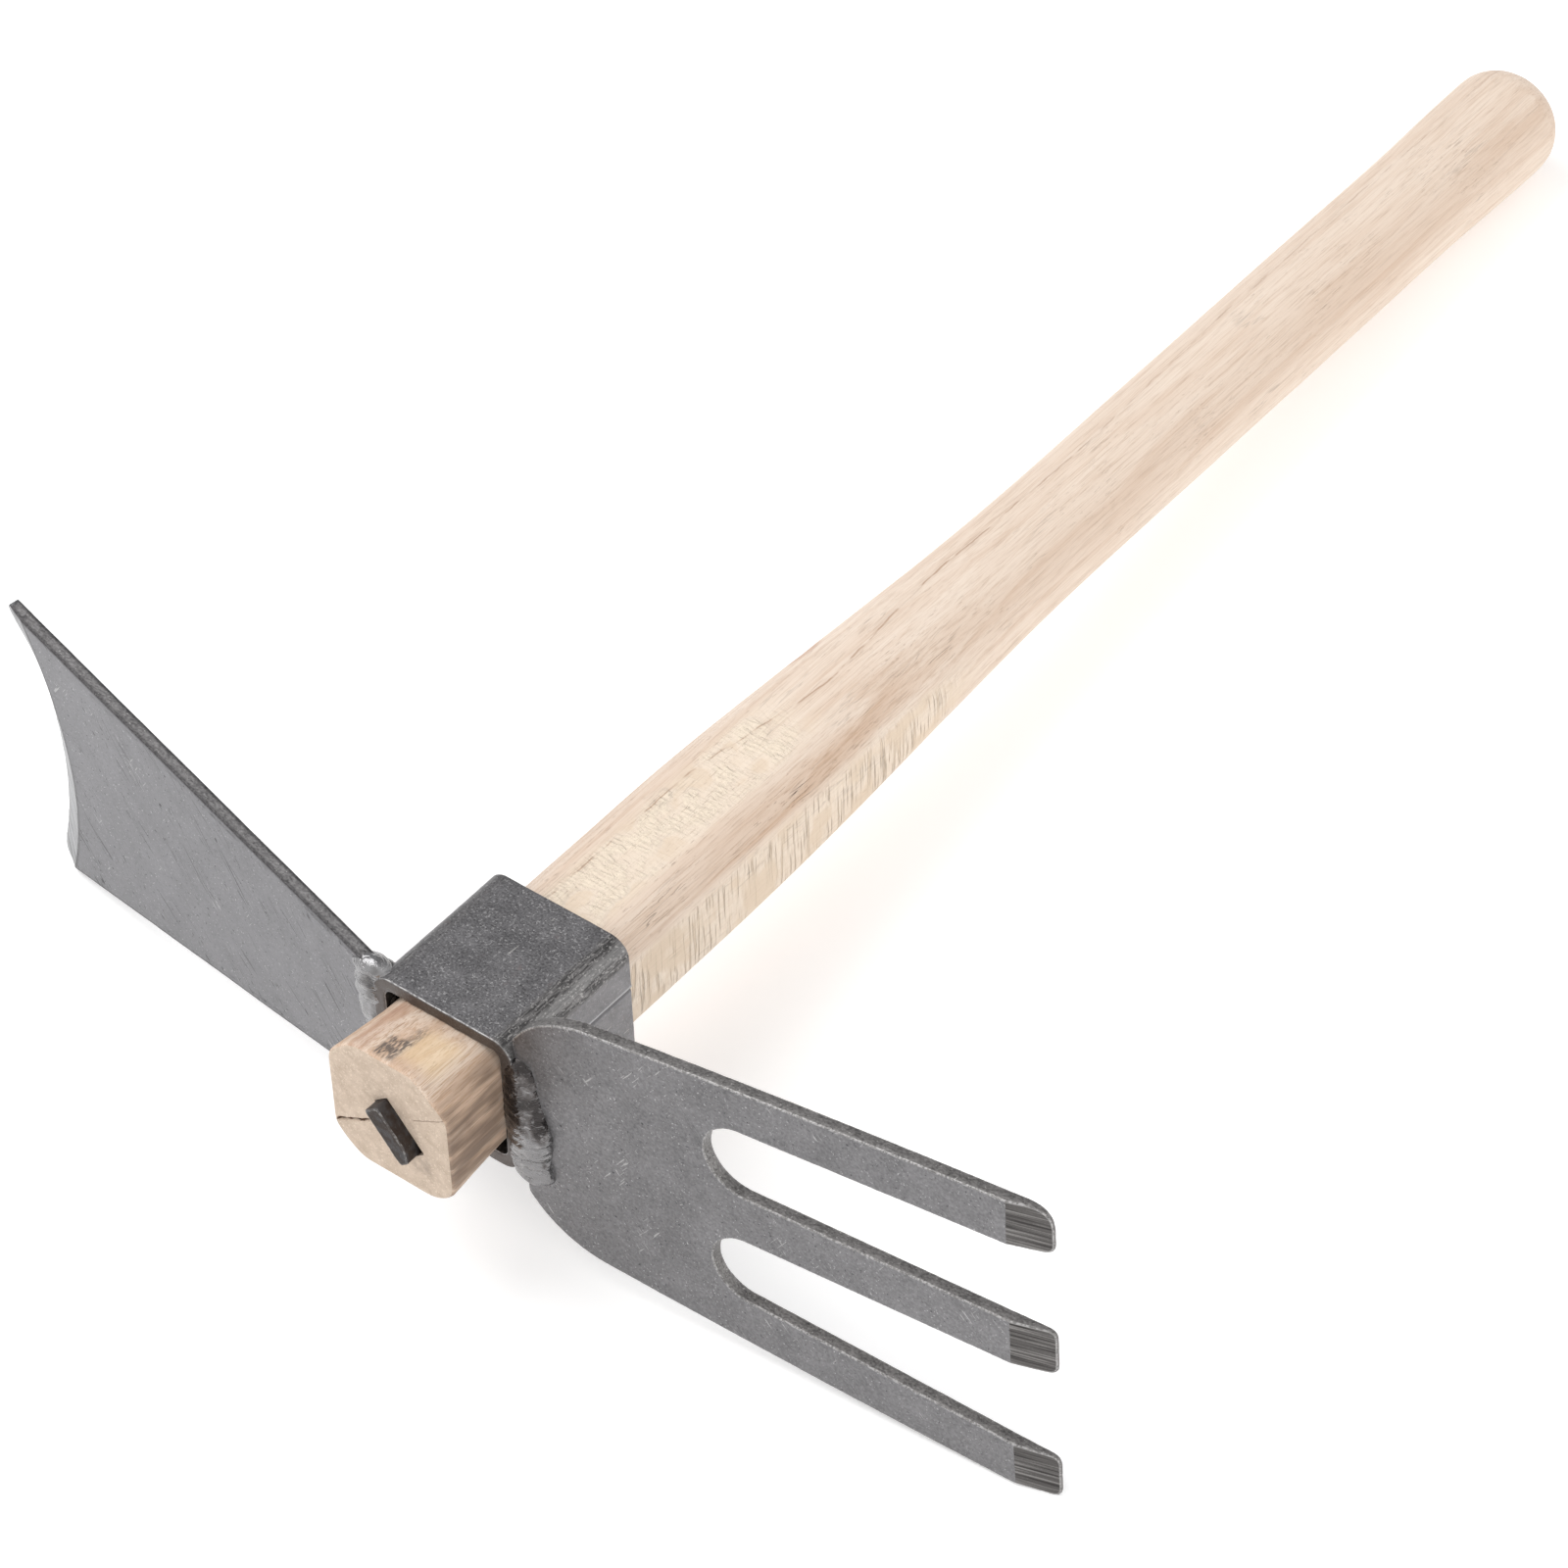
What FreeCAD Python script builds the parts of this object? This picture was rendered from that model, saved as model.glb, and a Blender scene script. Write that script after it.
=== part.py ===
"""Two-headed hand hoe: a broad blade and a three-tined fork welded to one square socket.

The wooden handle is a square bar turned round towards the butt. Its square end is driven
through the socket and spread by a steel wedge. Lengths are in millimetres.

The frame: +Y runs along the handle towards the butt, +X towards the fork, and +Z out of
the socket's top face. The origin is the middle of the round grip, on its axis.
"""
import FreeCAD, Part
import os

from FreeCAD import Vector

# Handle
BAR_WIDTH = 33.0              # across the flats of the square bar
NOSE_LENGTH = 18.6            # bar standing out in front of the socket
NOSE_HALF_WIDTH = 17.3        # the end face, swollen by the wedge: half its width
NOSE_HALF_HEIGHT = 18.4       # and half its height
NOSE_RISE = 0.5               # centre of the end face above the axis
NOSE_CORNER_RADIUS = 20.4     # from the axis to the rounded corners of the end face
NOSE_EDGE_ROUND = 1.2
SHANK_RADIUS = 19.5           # from the axis to the rounded corners of the bar
SHANK_LENGTH = 85.0           # from the socket's front to where the turning starts
TAPER_LENGTH = 146.0          # from there to the round grip
GRIP_RADIUS = 14.5
GRIP_LENGTH = 196.0
BUTT_LENGTH = 13.0            # the domed end behind the grip
BUTT_MID = (12.6, 8.0)        # a point of the dome: from the axis, and behind the grip
BUTT_FLAT_RADIUS = 6.0        # the small flat on the dome's end

# Socket: a short piece of square tube
SOCKET_WIDTH = 40.0
SOCKET_LENGTH = 41.0
SOCKET_CORNER = 5.0
BORE_CORNER = 2.0

# Wedge
WEDGE_WIDTH = 15.2
WEDGE_THICKNESS = 5.2         # at its struck end
WEDGE_TIP_THICKNESS = 1.4
WEDGE_PROUD = 3.7             # how far it stands out of the end face
WEDGE_DEPTH = 26.0            # how deep it is driven in
WEDGE_CENTRE = (2.4, 0.2)     # across and up from the handle's axis
WEDGE_TURN = -51.0            # degrees from +X

# Hoe blade: a flared plate whose cutting edge is hollowed by an arc
BLADE_THICKNESS = 3.4
BLADE_ROOT_HALF = 21.5        # half height at the socket
BLADE_FLARE = 0.1535          # gain in half height per millimetre outwards
BLADE_GRIND_LENGTH = 128.5    # socket to the corners where the grinding starts
BLADE_GRIND_HOLLOW = 9.1      # depth of the arc where the grinding starts
BLADE_EDGE_LENGTH = 136.3     # socket to the corners of the cutting edge
BLADE_EDGE_HOLLOW = 9.6
BLADE_EDGE_SKEW = 1.2         # the bottom corner is this much further out, the top one less
BLADE_EDGE_LAND = 0.4         # thickness left at the cutting edge
BLADE_SETBACK = 1.4           # front face behind the socket's front
BLADE_DROP = 1.0              # centre line below the handle's axis
BLADE_LEAN = 11.2             # degrees towards the butt
BLADE_TILT = 2.65             # degrees, top edge towards the nose
BLADE_ROLL = 0.65             # degrees, outer end down

# Fork: three flat tines cut from one plate
FORK_THICKNESS = 3.2
FORK_ROOT_HALF = 23.8
FORK_SHOULDER = (20.0, 36.5)  # where the rounded shoulder ends: out and up
FORK_SHOULDER_MID = (8.8, 32.7)
FORK_SIDE_MID = (79.0, 41.5)
FORK_TIP_HALF = 45.0
FORK_LENGTH = 138.3
FORK_GRIND_LENGTH = 10.3
FORK_TIP_LAND = 0.7
SLOT_ROOT = 50.4              # socket to the round end of each slot
SLOT_ROUND = 60.5             # socket to where the slot's straight sides begin
UPPER_SLOT = ((7.1, 27.5), (7.7, 31.9))   # inner and outer side: where straight, at the tips
LOWER_SLOT = ((7.0, 26.5), (5.5, 32.5))
TINE_CORNER = 2.0
TINE_OUTER_CORNER = 5.0       # the top tine's outer corner
FORK_SETBACK = 1.6
FORK_DROP = 2.2
FORK_LEAN = 3.8
FORK_ROLL = 1.6               # degrees, tips up

# Weld beads: (height, radius, distance from the socket's centre plane) at their two ends
BEAD_SINK = 1.2               # centre line of a bead behind the plate's front face
BEAD_INNER_EDGE = 19.0        # how near to the handle's axis a bead comes
BLADE_FRONT_BEAD = ((20.0, 5.0, 22.6), (-16.0, 2.8, 21.5))
BLADE_BACK_BEAD = ((15.5, 3.6, 20.6), (-15.5, 3.2, 20.6))
FORK_FRONT_BEAD = ((13.0, 3.6, 21.6), (-17.0, 5.0, 23.4))
FORK_BACK_BEAD = ((15.5, 3.2, 20.6), (-16.0, 3.4, 20.6))

# Places along the handle
GRIP_START = -GRIP_LENGTH / 2
TAPER_START = GRIP_START - TAPER_LENGTH
SOCKET_FRONT = TAPER_START - SHANK_LENGTH
NOSE_END = SOCKET_FRONT - NOSE_LENGTH
GRIP_END = GRIP_LENGTH / 2
BUTT_END = GRIP_END + BUTT_LENGTH
HALF_SOCKET = SOCKET_WIDTH / 2
ROOT_SPARE = 3.0              # extra length of a plate, cut off at the socket's side
CLEAR = 60.0                  # reach of cutting blocks past what they cut


def block(x_range, y_range, z_range):
    """Box between the given limits."""
    (x0, x1), (y0, y1), (z0, z1) = x_range, y_range, z_range
    return Part.makeBox(x1 - x0, y1 - y0, z1 - z0, Vector(x0, y0, z0))


def rounded_bar(width, corner, start, length):
    """Square bar along Y with rounded long edges."""
    bar = block((-width / 2, width / 2), (start, start + length), (-width / 2, width / 2))
    long_edges = [e for e in bar.Edges if abs(e.tangentAt(e.FirstParameter).y) > 0.99]
    return bar.makeFillet(corner, long_edges)


def rectangle(half_width, half_height, y, rise=0):
    """Closed rectangular wire across the handle at y, its centre at a height of rise."""
    corners = [(-1, -1), (1, -1), (1, 1), (-1, 1), (-1, -1)]
    return Part.makePolygon([Vector(i * half_width, y, k * half_height + rise) for i, k in corners])


def outline(points_and_mids, y):
    """Closed wire at depth y through (x, z) points; a mid-point makes its edge an arc."""
    edges = []
    for (start, mid), (end, _) in zip(points_and_mids, points_and_mids[1:] + points_and_mids[:1]):
        first = Vector(start[0], y, start[1])
        last = Vector(end[0], y, end[1])
        if mid is None:
            edges.append(Part.LineSegment(first, last).toShape())
        else:
            edges.append(Part.Arc(first, Vector(mid[0], y, mid[1]), last).toShape())
    return Part.Wire(edges)


def turned_bar():
    """The handle's turned form: straight shank, S-shaped taper, round grip, domed butt."""
    taper = Part.BSplineCurve()
    taper.interpolate(
        Points=[
            Vector(SHANK_RADIUS, TAPER_START, 0),
            Vector(17.8, TAPER_START + 0.37 * TAPER_LENGTH, 0),
            Vector(15.6, TAPER_START + 0.70 * TAPER_LENGTH, 0),
            Vector(GRIP_RADIUS, GRIP_START, 0),
        ],
        InitialTangent=Vector(0, 1, 0),
        FinalTangent=Vector(0, 1, 0),
    )
    dome_start = Vector(GRIP_RADIUS, GRIP_END, 0)
    dome_end = Vector(BUTT_FLAT_RADIUS, BUTT_END, 0)
    dome = Part.Arc(dome_start, Vector(BUTT_MID[0], GRIP_END + BUTT_MID[1], 0), dome_end)
    profile = [
        Part.LineSegment(Vector(0, NOSE_END, 0), Vector(NOSE_CORNER_RADIUS, NOSE_END, 0)),
        Part.LineSegment(Vector(NOSE_CORNER_RADIUS, NOSE_END, 0), Vector(SHANK_RADIUS, SOCKET_FRONT, 0)),
        Part.LineSegment(Vector(SHANK_RADIUS, SOCKET_FRONT, 0), Vector(SHANK_RADIUS, TAPER_START, 0)),
        taper,
        Part.LineSegment(Vector(GRIP_RADIUS, GRIP_START, 0), dome_start),
        dome,
        Part.LineSegment(dome_end, Vector(0, BUTT_END, 0)),
        Part.LineSegment(Vector(0, BUTT_END, 0), Vector(0, NOSE_END, 0)),
    ]
    face = Part.Face(Part.Wire([curve.toShape() for curve in profile]))
    return face.revolve(Vector(0, 0, 0), Vector(0, 1, 0), 360)


def make_wedge():
    """Flat steel wedge, set askew in the end grain."""
    half_width = WEDGE_WIDTH / 2
    struck_end = rectangle(half_width, WEDGE_THICKNESS / 2, NOSE_END - WEDGE_PROUD)
    tip = rectangle(half_width, WEDGE_TIP_THICKNESS / 2, NOSE_END + WEDGE_DEPTH)
    wedge = Part.makeLoft([struck_end, tip], True, True)
    wedge.rotate(Vector(0, 0, 0), Vector(0, 1, 0), -WEDGE_TURN)
    wedge.translate(Vector(WEDGE_CENTRE[0], 0, WEDGE_CENTRE[1]))
    return wedge


def make_handle(wedge):
    """Square bar cut to the turned form, with a split for the wedge in its swollen nose."""
    half = BAR_WIDTH / 2
    bar = block((-half, half), (SOCKET_FRONT, BUTT_END + CLEAR), (-half, half))
    nose_ends = [
        rectangle(NOSE_HALF_WIDTH, NOSE_HALF_HEIGHT, NOSE_END, NOSE_RISE),
        rectangle(half, half, SOCKET_FRONT),
    ]
    nose = Part.makeLoft(nose_ends, True, True)
    handle = turned_bar().common(bar.fuse(nose))
    end_edges = [e for e in handle.Edges if e.BoundBox.YMax < NOSE_END + 0.01]
    return handle.makeFillet(NOSE_EDGE_ROUND, end_edges).cut(wedge)


def make_socket():
    """Short square tube that holds the handle and carries both heads."""
    outside = rounded_bar(SOCKET_WIDTH, SOCKET_CORNER, SOCKET_FRONT, SOCKET_LENGTH)
    bore = rounded_bar(BAR_WIDTH, BORE_CORNER, SOCKET_FRONT - 1, SOCKET_LENGTH + 2)
    return outside.cut(bore)


def blade_placement():
    """Where the blade's own frame stands: front face at y = 0, outwards along -X."""
    turn = FreeCAD.Rotation(-BLADE_LEAN, -BLADE_ROLL, BLADE_TILT)
    return FreeCAD.Placement(Vector(-HALF_SOCKET, SOCKET_FRONT + BLADE_SETBACK, -BLADE_DROP), turn)


def fork_placement():
    """Where the fork's own frame stands: front face at y = 0, outwards along +X."""
    turn = FreeCAD.Rotation(FORK_LEAN, -FORK_ROLL, 0)
    return FreeCAD.Placement(Vector(HALF_SOCKET, SOCKET_FRONT + FORK_SETBACK, -FORK_DROP), turn)


def placed(shape, placement):
    """The shape moved from a plate's own frame to its place on the socket."""
    moved = shape.copy()
    moved.Placement = placement
    return moved


def between_plates():
    """Block between the socket's two sides, which the roots of both plates are cut to."""
    y_range = (SOCKET_FRONT - CLEAR, SOCKET_FRONT + CLEAR)
    return block((-HALF_SOCKET, HALF_SOCKET), y_range, (-CLEAR, CLEAR))


def blade_outline(length, hollow, skew, depth):
    """Flared outline of the blade whose outer end is hollowed by an arc."""
    top = length - skew
    bottom = length + skew
    root_half = BLADE_ROOT_HALF - BLADE_FLARE * ROOT_SPARE
    corners = [
        ((ROOT_SPARE, root_half), None),
        ((-top, BLADE_ROOT_HALF + BLADE_FLARE * top), (-length + hollow, 0)),
        ((-bottom, -BLADE_ROOT_HALF - BLADE_FLARE * bottom), None),
        ((ROOT_SPARE, -root_half), None),
    ]
    return outline(corners, depth)


def make_blade():
    """Hoe blade, ground from its front face to a thin hollowed cutting edge."""
    edge_depth = BLADE_THICKNESS - BLADE_EDGE_LAND
    edge = (BLADE_EDGE_LENGTH, BLADE_EDGE_HOLLOW, BLADE_EDGE_SKEW)
    ground_face = blade_outline(BLADE_GRIND_LENGTH, BLADE_GRIND_HOLLOW, 0, 0)
    edge_front = blade_outline(*edge, edge_depth)
    edge_back = blade_outline(*edge, BLADE_THICKNESS)
    blade = Part.makeLoft([ground_face, edge_front, edge_back], True, True)
    return placed(blade, blade_placement()).cut(between_plates())


def fork_blank():
    """Fork plate before its slots are cut: rounded shoulders and slightly bowed sides."""
    shoulder_out, shoulder_up = FORK_SHOULDER
    mid_out, mid_up = FORK_SHOULDER_MID
    side_out, side_up = FORK_SIDE_MID
    corners = [
        ((-ROOT_SPARE, -FORK_ROOT_HALF), None),
        ((-ROOT_SPARE, FORK_ROOT_HALF), None),
        ((0, FORK_ROOT_HALF), (mid_out, mid_up)),
        ((shoulder_out, shoulder_up), (side_out, side_up)),
        ((FORK_LENGTH, FORK_TIP_HALF), None),
        ((FORK_LENGTH, -FORK_TIP_HALF), (side_out, -side_up)),
        ((shoulder_out, -shoulder_up), (mid_out, -mid_up)),
        ((0, -FORK_ROOT_HALF), None),
    ]
    return Part.Face(outline(corners, 0)).extrude(Vector(0, FORK_THICKNESS, 0))


def slot_cutter(sides, up):
    """Round-ended slot that widens outwards; up is +1 above the centre line, -1 below."""
    (inner, outer), (tip_inner, tip_outer) = sides
    run = FORK_LENGTH - SLOT_ROUND
    mouth = FORK_LENGTH + run
    corners = [
        ((SLOT_ROUND, up * outer), None),
        ((mouth, up * (2 * tip_outer - outer)), None),
        ((mouth, up * (2 * tip_inner - inner)), None),
        ((SLOT_ROUND, up * inner), (SLOT_ROOT, up * (inner + outer) / 2)),
    ]
    return Part.Face(outline(corners, -1)).extrude(Vector(0, FORK_THICKNESS + 2, 0))


def tip_grinder():
    """Block above the slope ground across the front of the tine tips."""
    start = FORK_LENGTH - FORK_GRIND_LENGTH
    depth = FORK_THICKNESS - FORK_TIP_LAND
    reach = 2 * FORK_GRIND_LENGTH
    points = [(start, 0), (start + reach, 2 * depth), (start + reach, -1), (start, -1), (start, 0)]
    wire = Part.makePolygon([Vector(x, y, -CLEAR) for x, y in points])
    return Part.Face(wire).extrude(Vector(0, 0, 2 * CLEAR))


def tine_corners(fork):
    """Edges through the plate's thickness at the corners of the tine tips."""
    at_tip = [e for e in fork.Edges if e.BoundBox.XMin > FORK_LENGTH - 0.01]
    return [e for e in at_tip if e.BoundBox.ZLength < 0.01]


def make_fork():
    """Three-tined fork with rounded tine corners and ground tips."""
    fork = fork_blank().cut(slot_cutter(UPPER_SLOT, 1)).cut(slot_cutter(LOWER_SLOT, -1))
    top_corner = [e for e in tine_corners(fork) if e.BoundBox.ZMax > FORK_TIP_HALF - 0.01]
    fork = fork.makeFillet(TINE_OUTER_CORNER, top_corner)
    below_top_corner = FORK_TIP_HALF - 2 * TINE_OUTER_CORNER
    others = [e for e in tine_corners(fork) if e.BoundBox.ZMax < below_top_corner]
    fork = fork.makeFillet(TINE_CORNER, others).cut(tip_grinder())
    return placed(fork, fork_placement()).cut(between_plates())


def bead_core(ends, depth, side):
    """Tapered round-ended bar down the corner between a plate and the socket."""
    (top, top_radius, top_out), (bottom, bottom_radius, bottom_out) = ends
    first = Vector(side * bottom_out, depth, bottom)
    last = Vector(side * top_out, depth, top)
    path = last - first
    core = Part.makeCone(bottom_radius, top_radius, path.Length, first, path)
    core = core.fuse(Part.makeSphere(bottom_radius, first))
    return core.fuse(Part.makeSphere(top_radius, last))


def plate_side(placement, front):
    """Block that fills the space on one side of a plate: all in front of it, or all behind."""
    y_range = (-CLEAR, front) if front > 0 else (front, CLEAR)
    return placed(block((-CLEAR, CLEAR), y_range, (-CLEAR, CLEAR)), placement)


def make_bead(ends, side, placement, thickness, socket_block):
    """Weld bead in the corner at the front of a plate, or at its back if it has a thickness."""
    setback = placement.Base.y
    depth = setback + thickness + (BEAD_SINK if thickness == 0 else 0)
    away_from_handle = sorted((side * BEAD_INNER_EDGE, side * CLEAR))
    region = block(away_from_handle, (SOCKET_FRONT - CLEAR, SOCKET_FRONT + CLEAR), (-CLEAR, CLEAR))
    bead = bead_core(ends, depth, side).common(region)
    return bead.cut(socket_block).cut(plate_side(placement, thickness))


def build():
    """All the pieces, by the name of their node."""
    socket_block = rounded_bar(SOCKET_WIDTH, SOCKET_CORNER, SOCKET_FRONT, SOCKET_LENGTH)
    wedge = make_wedge()
    blade_at = blade_placement()
    fork_at = fork_placement()
    return {
        "handle": make_handle(wedge),
        "wedge": wedge,
        "socket": make_socket(),
        "hoe_blade": make_blade(),
        "fork": make_fork(),
        "hoe_weld_front": make_bead(BLADE_FRONT_BEAD, -1, blade_at, 0, socket_block),
        "hoe_weld_back": make_bead(BLADE_BACK_BEAD, -1, blade_at, BLADE_THICKNESS, socket_block),
        "fork_weld_front": make_bead(FORK_FRONT_BEAD, 1, fork_at, 0, socket_block),
        "fork_weld_back": make_bead(FORK_BACK_BEAD, 1, fork_at, FORK_THICKNESS, socket_block),
    }


os.makedirs("parts", exist_ok=True)
for name, shape in build().items():
    shape.exportStep("parts/" + name + ".step")
    box = shape.optimalBoundingBox()
    print(f"{name:16s} solids {len(shape.Solids)} valid {shape.isValid()} volume {shape.Volume:9.0f}"
          f"  X {box.XMin:7.1f} {box.XMax:7.1f}  Y {box.YMin:7.1f} {box.YMax:7.1f}"
          f"  Z {box.ZMin:6.1f} {box.ZMax:6.1f}")
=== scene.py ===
"""Looks of a two-headed hand hoe: turned wooden handle, square steel socket, blade, fork and welds.

Lengths are in metres, written as millimetres times MM. The frame is the CAD model's: +Y runs along
the handle towards the butt, +X towards the fork, +Z out of the socket's top face.
"""
import itertools
import logging
import math
from dataclasses import dataclass
from enum import Enum
from typing import Any, Optional, Sequence, Union

import bmesh
import bpy
import numpy as np
from mathutils import Matrix, Vector


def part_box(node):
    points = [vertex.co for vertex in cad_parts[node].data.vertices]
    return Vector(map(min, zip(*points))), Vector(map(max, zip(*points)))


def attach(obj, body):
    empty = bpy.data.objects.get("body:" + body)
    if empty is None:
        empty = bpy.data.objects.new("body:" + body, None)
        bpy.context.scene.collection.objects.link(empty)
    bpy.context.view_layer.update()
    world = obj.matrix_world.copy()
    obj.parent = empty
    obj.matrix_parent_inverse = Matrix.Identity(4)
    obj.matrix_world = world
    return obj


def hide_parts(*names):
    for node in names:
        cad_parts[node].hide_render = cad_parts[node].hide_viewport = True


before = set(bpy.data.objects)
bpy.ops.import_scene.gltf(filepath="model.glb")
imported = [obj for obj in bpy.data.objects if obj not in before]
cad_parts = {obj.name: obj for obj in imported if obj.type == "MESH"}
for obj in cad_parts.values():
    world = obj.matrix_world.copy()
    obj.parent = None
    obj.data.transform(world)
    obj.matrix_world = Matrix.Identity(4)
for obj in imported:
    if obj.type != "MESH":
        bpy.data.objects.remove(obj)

LOG = logging.getLogger("hand_hoe")
MM = 0.001
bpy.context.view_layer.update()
BODY = "root"

Array = np.ndarray
Colour = tuple[float, float, float]
Number = Union[float, "Field"]
Sides = tuple[tuple[float, float], tuple[float, float]]

# Places along the handle that the finishes need, in millimetres
NOSE_END = -347.6
SOCKET_FRONT = -329.0
SOCKET_BACK = -288.0


def mm(*lengths: float) -> tuple[float, ...]:
    """Lengths given in millimetres, in metres."""
    return tuple(length * MM for length in lengths)


def scaled(colour: Colour, gain: float) -> Colour:
    """The colour made lighter or darker by a factor."""
    return tuple(part * gain for part in colour)


# ---------------------------------------------------------------- numbers and random fields


def smoothstep(low: float, high: float, values: Array) -> Array:
    """Eased rise from 0 at low to 1 at high: 3t^2 - 2t^3, with t held between 0 and 1."""
    t = np.clip((values - low) / (high - low), 0.0, 1.0)
    return t * t * (3.0 - 2.0 * t)


def bump_at(values: Array, centre: float, width: float) -> Array:
    """Bell curve exp(-d^2), where d is the distance from the centre in widths."""
    return np.exp(-(((values - centre) / width) ** 2))


class Grain:
    """Smooth random field through space, made from a wrapped lattice of seeded numbers."""

    SIZE = 32

    def __init__(self, seed: int) -> None:
        """Draws the lattice that the seed fixes."""
        self.lattice = np.random.default_rng(seed).uniform(-1.0, 1.0, (self.SIZE,) * 3)

    def at(self, points: Array, cell: Sequence[float]) -> Array:
        """Value at each point: the eight nearest lattice numbers, blended by eased distances.

        Args:
            points: array whose last axis is x, y, z.
            cell: size of a lattice cell along each axis.

        Returns:
            Values between -1 and 1, one for each point.
        """
        scaled = points / np.asarray(cell, float)
        base = np.floor(scaled)
        part = scaled - base
        part = part * part * (3.0 - 2.0 * part)
        total = np.zeros(points.shape[:-1])
        for corner in itertools.product((0, 1), repeat=3):
            index = (base.astype(int) + np.array(corner)) % self.SIZE
            weight = np.prod(np.where(corner, part, 1.0 - part), axis=-1)
            total += weight * self.lattice[index[..., 0], index[..., 1], index[..., 2]]
        return total


# ---------------------------------------------------------------- meshes


class Patchwork:
    """Vertices and faces gathered patch by patch, then sewn into one closed mesh."""

    SEWING_DISTANCE = 2e-6

    def __init__(self) -> None:
        """Starts with no patches."""
        self.points: list[Array] = []
        self.wear_and_painted_light: list[Array] = []
        self.faces: list[list[int]] = []
        self.materials: list[int] = []
        self.smooth: list[bool] = []
        self.count = 0

    def _keep(self, points: Array, wear_and_painted_light: Union[float, Array]) -> int:
        """Stores a patch's points and their mask of rubbing and painted light, and returns the index of its
        first point.
        """
        flat = points.reshape(-1, 3)
        first = self.count
        self.points.append(flat)
        self.wear_and_painted_light.append(np.broadcast_to(wear_and_painted_light, points.shape[:-1]).reshape(-1).astype(float))
        self.count += len(flat)
        return first

    def grid(self, points: Array, material: Union[int, Array] = 0, wear_and_painted_light: Union[float, Array] = 0.0) -> None:
        """Adds a sheet of four-sided faces between the rows and columns of points.

        Args:
            points: array of shape (rows, columns, 3).
            material: material index, for the sheet or for each face.
            wear_and_painted_light: per point from 0 to 1, rubbing on some pieces and where painted light goes
                on others.
        """
        first = self._keep(points, wear_and_painted_light)
        rows, columns = points.shape[:2]
        index = first + np.arange(rows * columns).reshape(rows, columns)
        corners = (index[:-1, :-1], index[:-1, 1:], index[1:, 1:], index[1:, :-1])
        quads = np.stack(corners, axis=-1).reshape(-1, 4)
        self.faces.extend(quads.tolist())
        shares = np.broadcast_to(material, (rows - 1, columns - 1)).reshape(-1)
        self.materials.extend(shares.astype(int).tolist())
        self.smooth.extend([True] * len(quads))

    def polygon(self, points: Array, material: int = 0) -> None:
        """Adds one flat face round the given points.

        Args:
            points: array of shape (points, 3).
            material: material index.
        """
        first = self._keep(points, 0.0)
        self.faces.append(list(range(first, self.count)))
        self.materials.append(material)
        self.smooth.append(False)

    def sew(
        self, name: str, materials: Sequence[bpy.types.Material], sharp: float = 40.0
    ) -> bpy.types.Object:
        """Makes the object: points that meet are merged and the faces turned outwards.

        Args:
            name: name of the piece.
            materials: the materials, in the order of the faces' indices.
            sharp: angle in degrees past which an edge stays crisp.

        Returns:
            The new object, linked to the scene.
        """
        mesh = bpy.data.meshes.new(name)
        mesh.from_pydata(np.concatenate(self.points).tolist(), [], self.faces)
        mesh.polygons.foreach_set("material_index", self.materials)
        mesh.polygons.foreach_set("use_smooth", self.smooth)
        mask_attribute = mesh.attributes.new("wear_and_painted_light", "FLOAT", "POINT")
        mask_attribute.data.foreach_set("value", np.concatenate(self.wear_and_painted_light))
        shell = bmesh.new()
        shell.from_mesh(mesh)
        bmesh.ops.remove_doubles(shell, verts=shell.verts, dist=self.SEWING_DISTANCE)
        bmesh.ops.recalc_face_normals(shell, faces=shell.faces)
        shell.to_mesh(mesh)
        shell.free()
        mesh.set_sharp_from_angle(angle=math.radians(sharp))
        for material in materials:
            mesh.materials.append(material)
        piece = bpy.data.objects.new(name, mesh)
        bpy.context.scene.collection.objects.link(piece)
        return piece


def closed(ring: Array, axis: int = 1) -> Array:
    """The array with its first entry along an axis repeated at the end, which closes a ring."""
    return np.concatenate([ring, np.take(ring, [0], axis=axis)], axis=axis)


def arc_through(start: Sequence[float], middle: Sequence[float], end: Sequence[float], count: int) -> Array:
    """Points on the circle through three points, from start to end.

    The centre solves |c - p|^2 = constant for the three points, and the angle runs evenly
    from start to end on the side where the middle point lies.

    Args:
        start: first point.
        middle: a point between the ends.
        end: last point.
        count: how many points, with both ends.

    Returns:
        Array of shape (count, 2).
    """
    a, b, c = (np.asarray(point, float) for point in (start, middle, end))
    sides = 2.0 * np.stack([b - a, c - a])
    centre = np.linalg.solve(sides, np.array([b @ b - a @ a, c @ c - a @ a]))
    angles = [math.atan2(*(point - centre)[::-1]) for point in (a, b, c)]
    full = 2.0 * math.pi
    to_middle = (angles[1] - angles[0]) % full
    to_end = (angles[2] - angles[0]) % full
    sweep = to_end if to_middle < to_end else to_end - full
    turn = angles[0] + np.linspace(0.0, sweep, count)
    radius = np.linalg.norm(a - centre)
    return centre + radius * np.stack([np.cos(turn), np.sin(turn)], axis=-1)


def rounded_corner(
    before: Sequence[float], corner: Sequence[float], after: Sequence[float], radius: float
) -> Array:
    """Quarter-like arc that replaces a corner, as a curve drawn towards the corner and away.

    The curve is the quadratic one whose handles are the corner and the two points that lie
    one radius from it on either side.

    Args:
        before: the point before the corner.
        corner: the corner.
        after: the point after it.
        radius: how far from the corner the curve starts and ends.

    Returns:
        Array of shape (9, 2).
    """
    before, corner, after = (np.asarray(point, float) for point in (before, corner, after))
    start = corner + (before - corner) / np.linalg.norm(before - corner) * radius
    end = corner + (after - corner) / np.linalg.norm(after - corner) * radius
    t = np.linspace(0.0, 1.0, 9)[:, None]
    return (1 - t) ** 2 * start + 2 * t * (1 - t) * corner + t ** 2 * end


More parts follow.
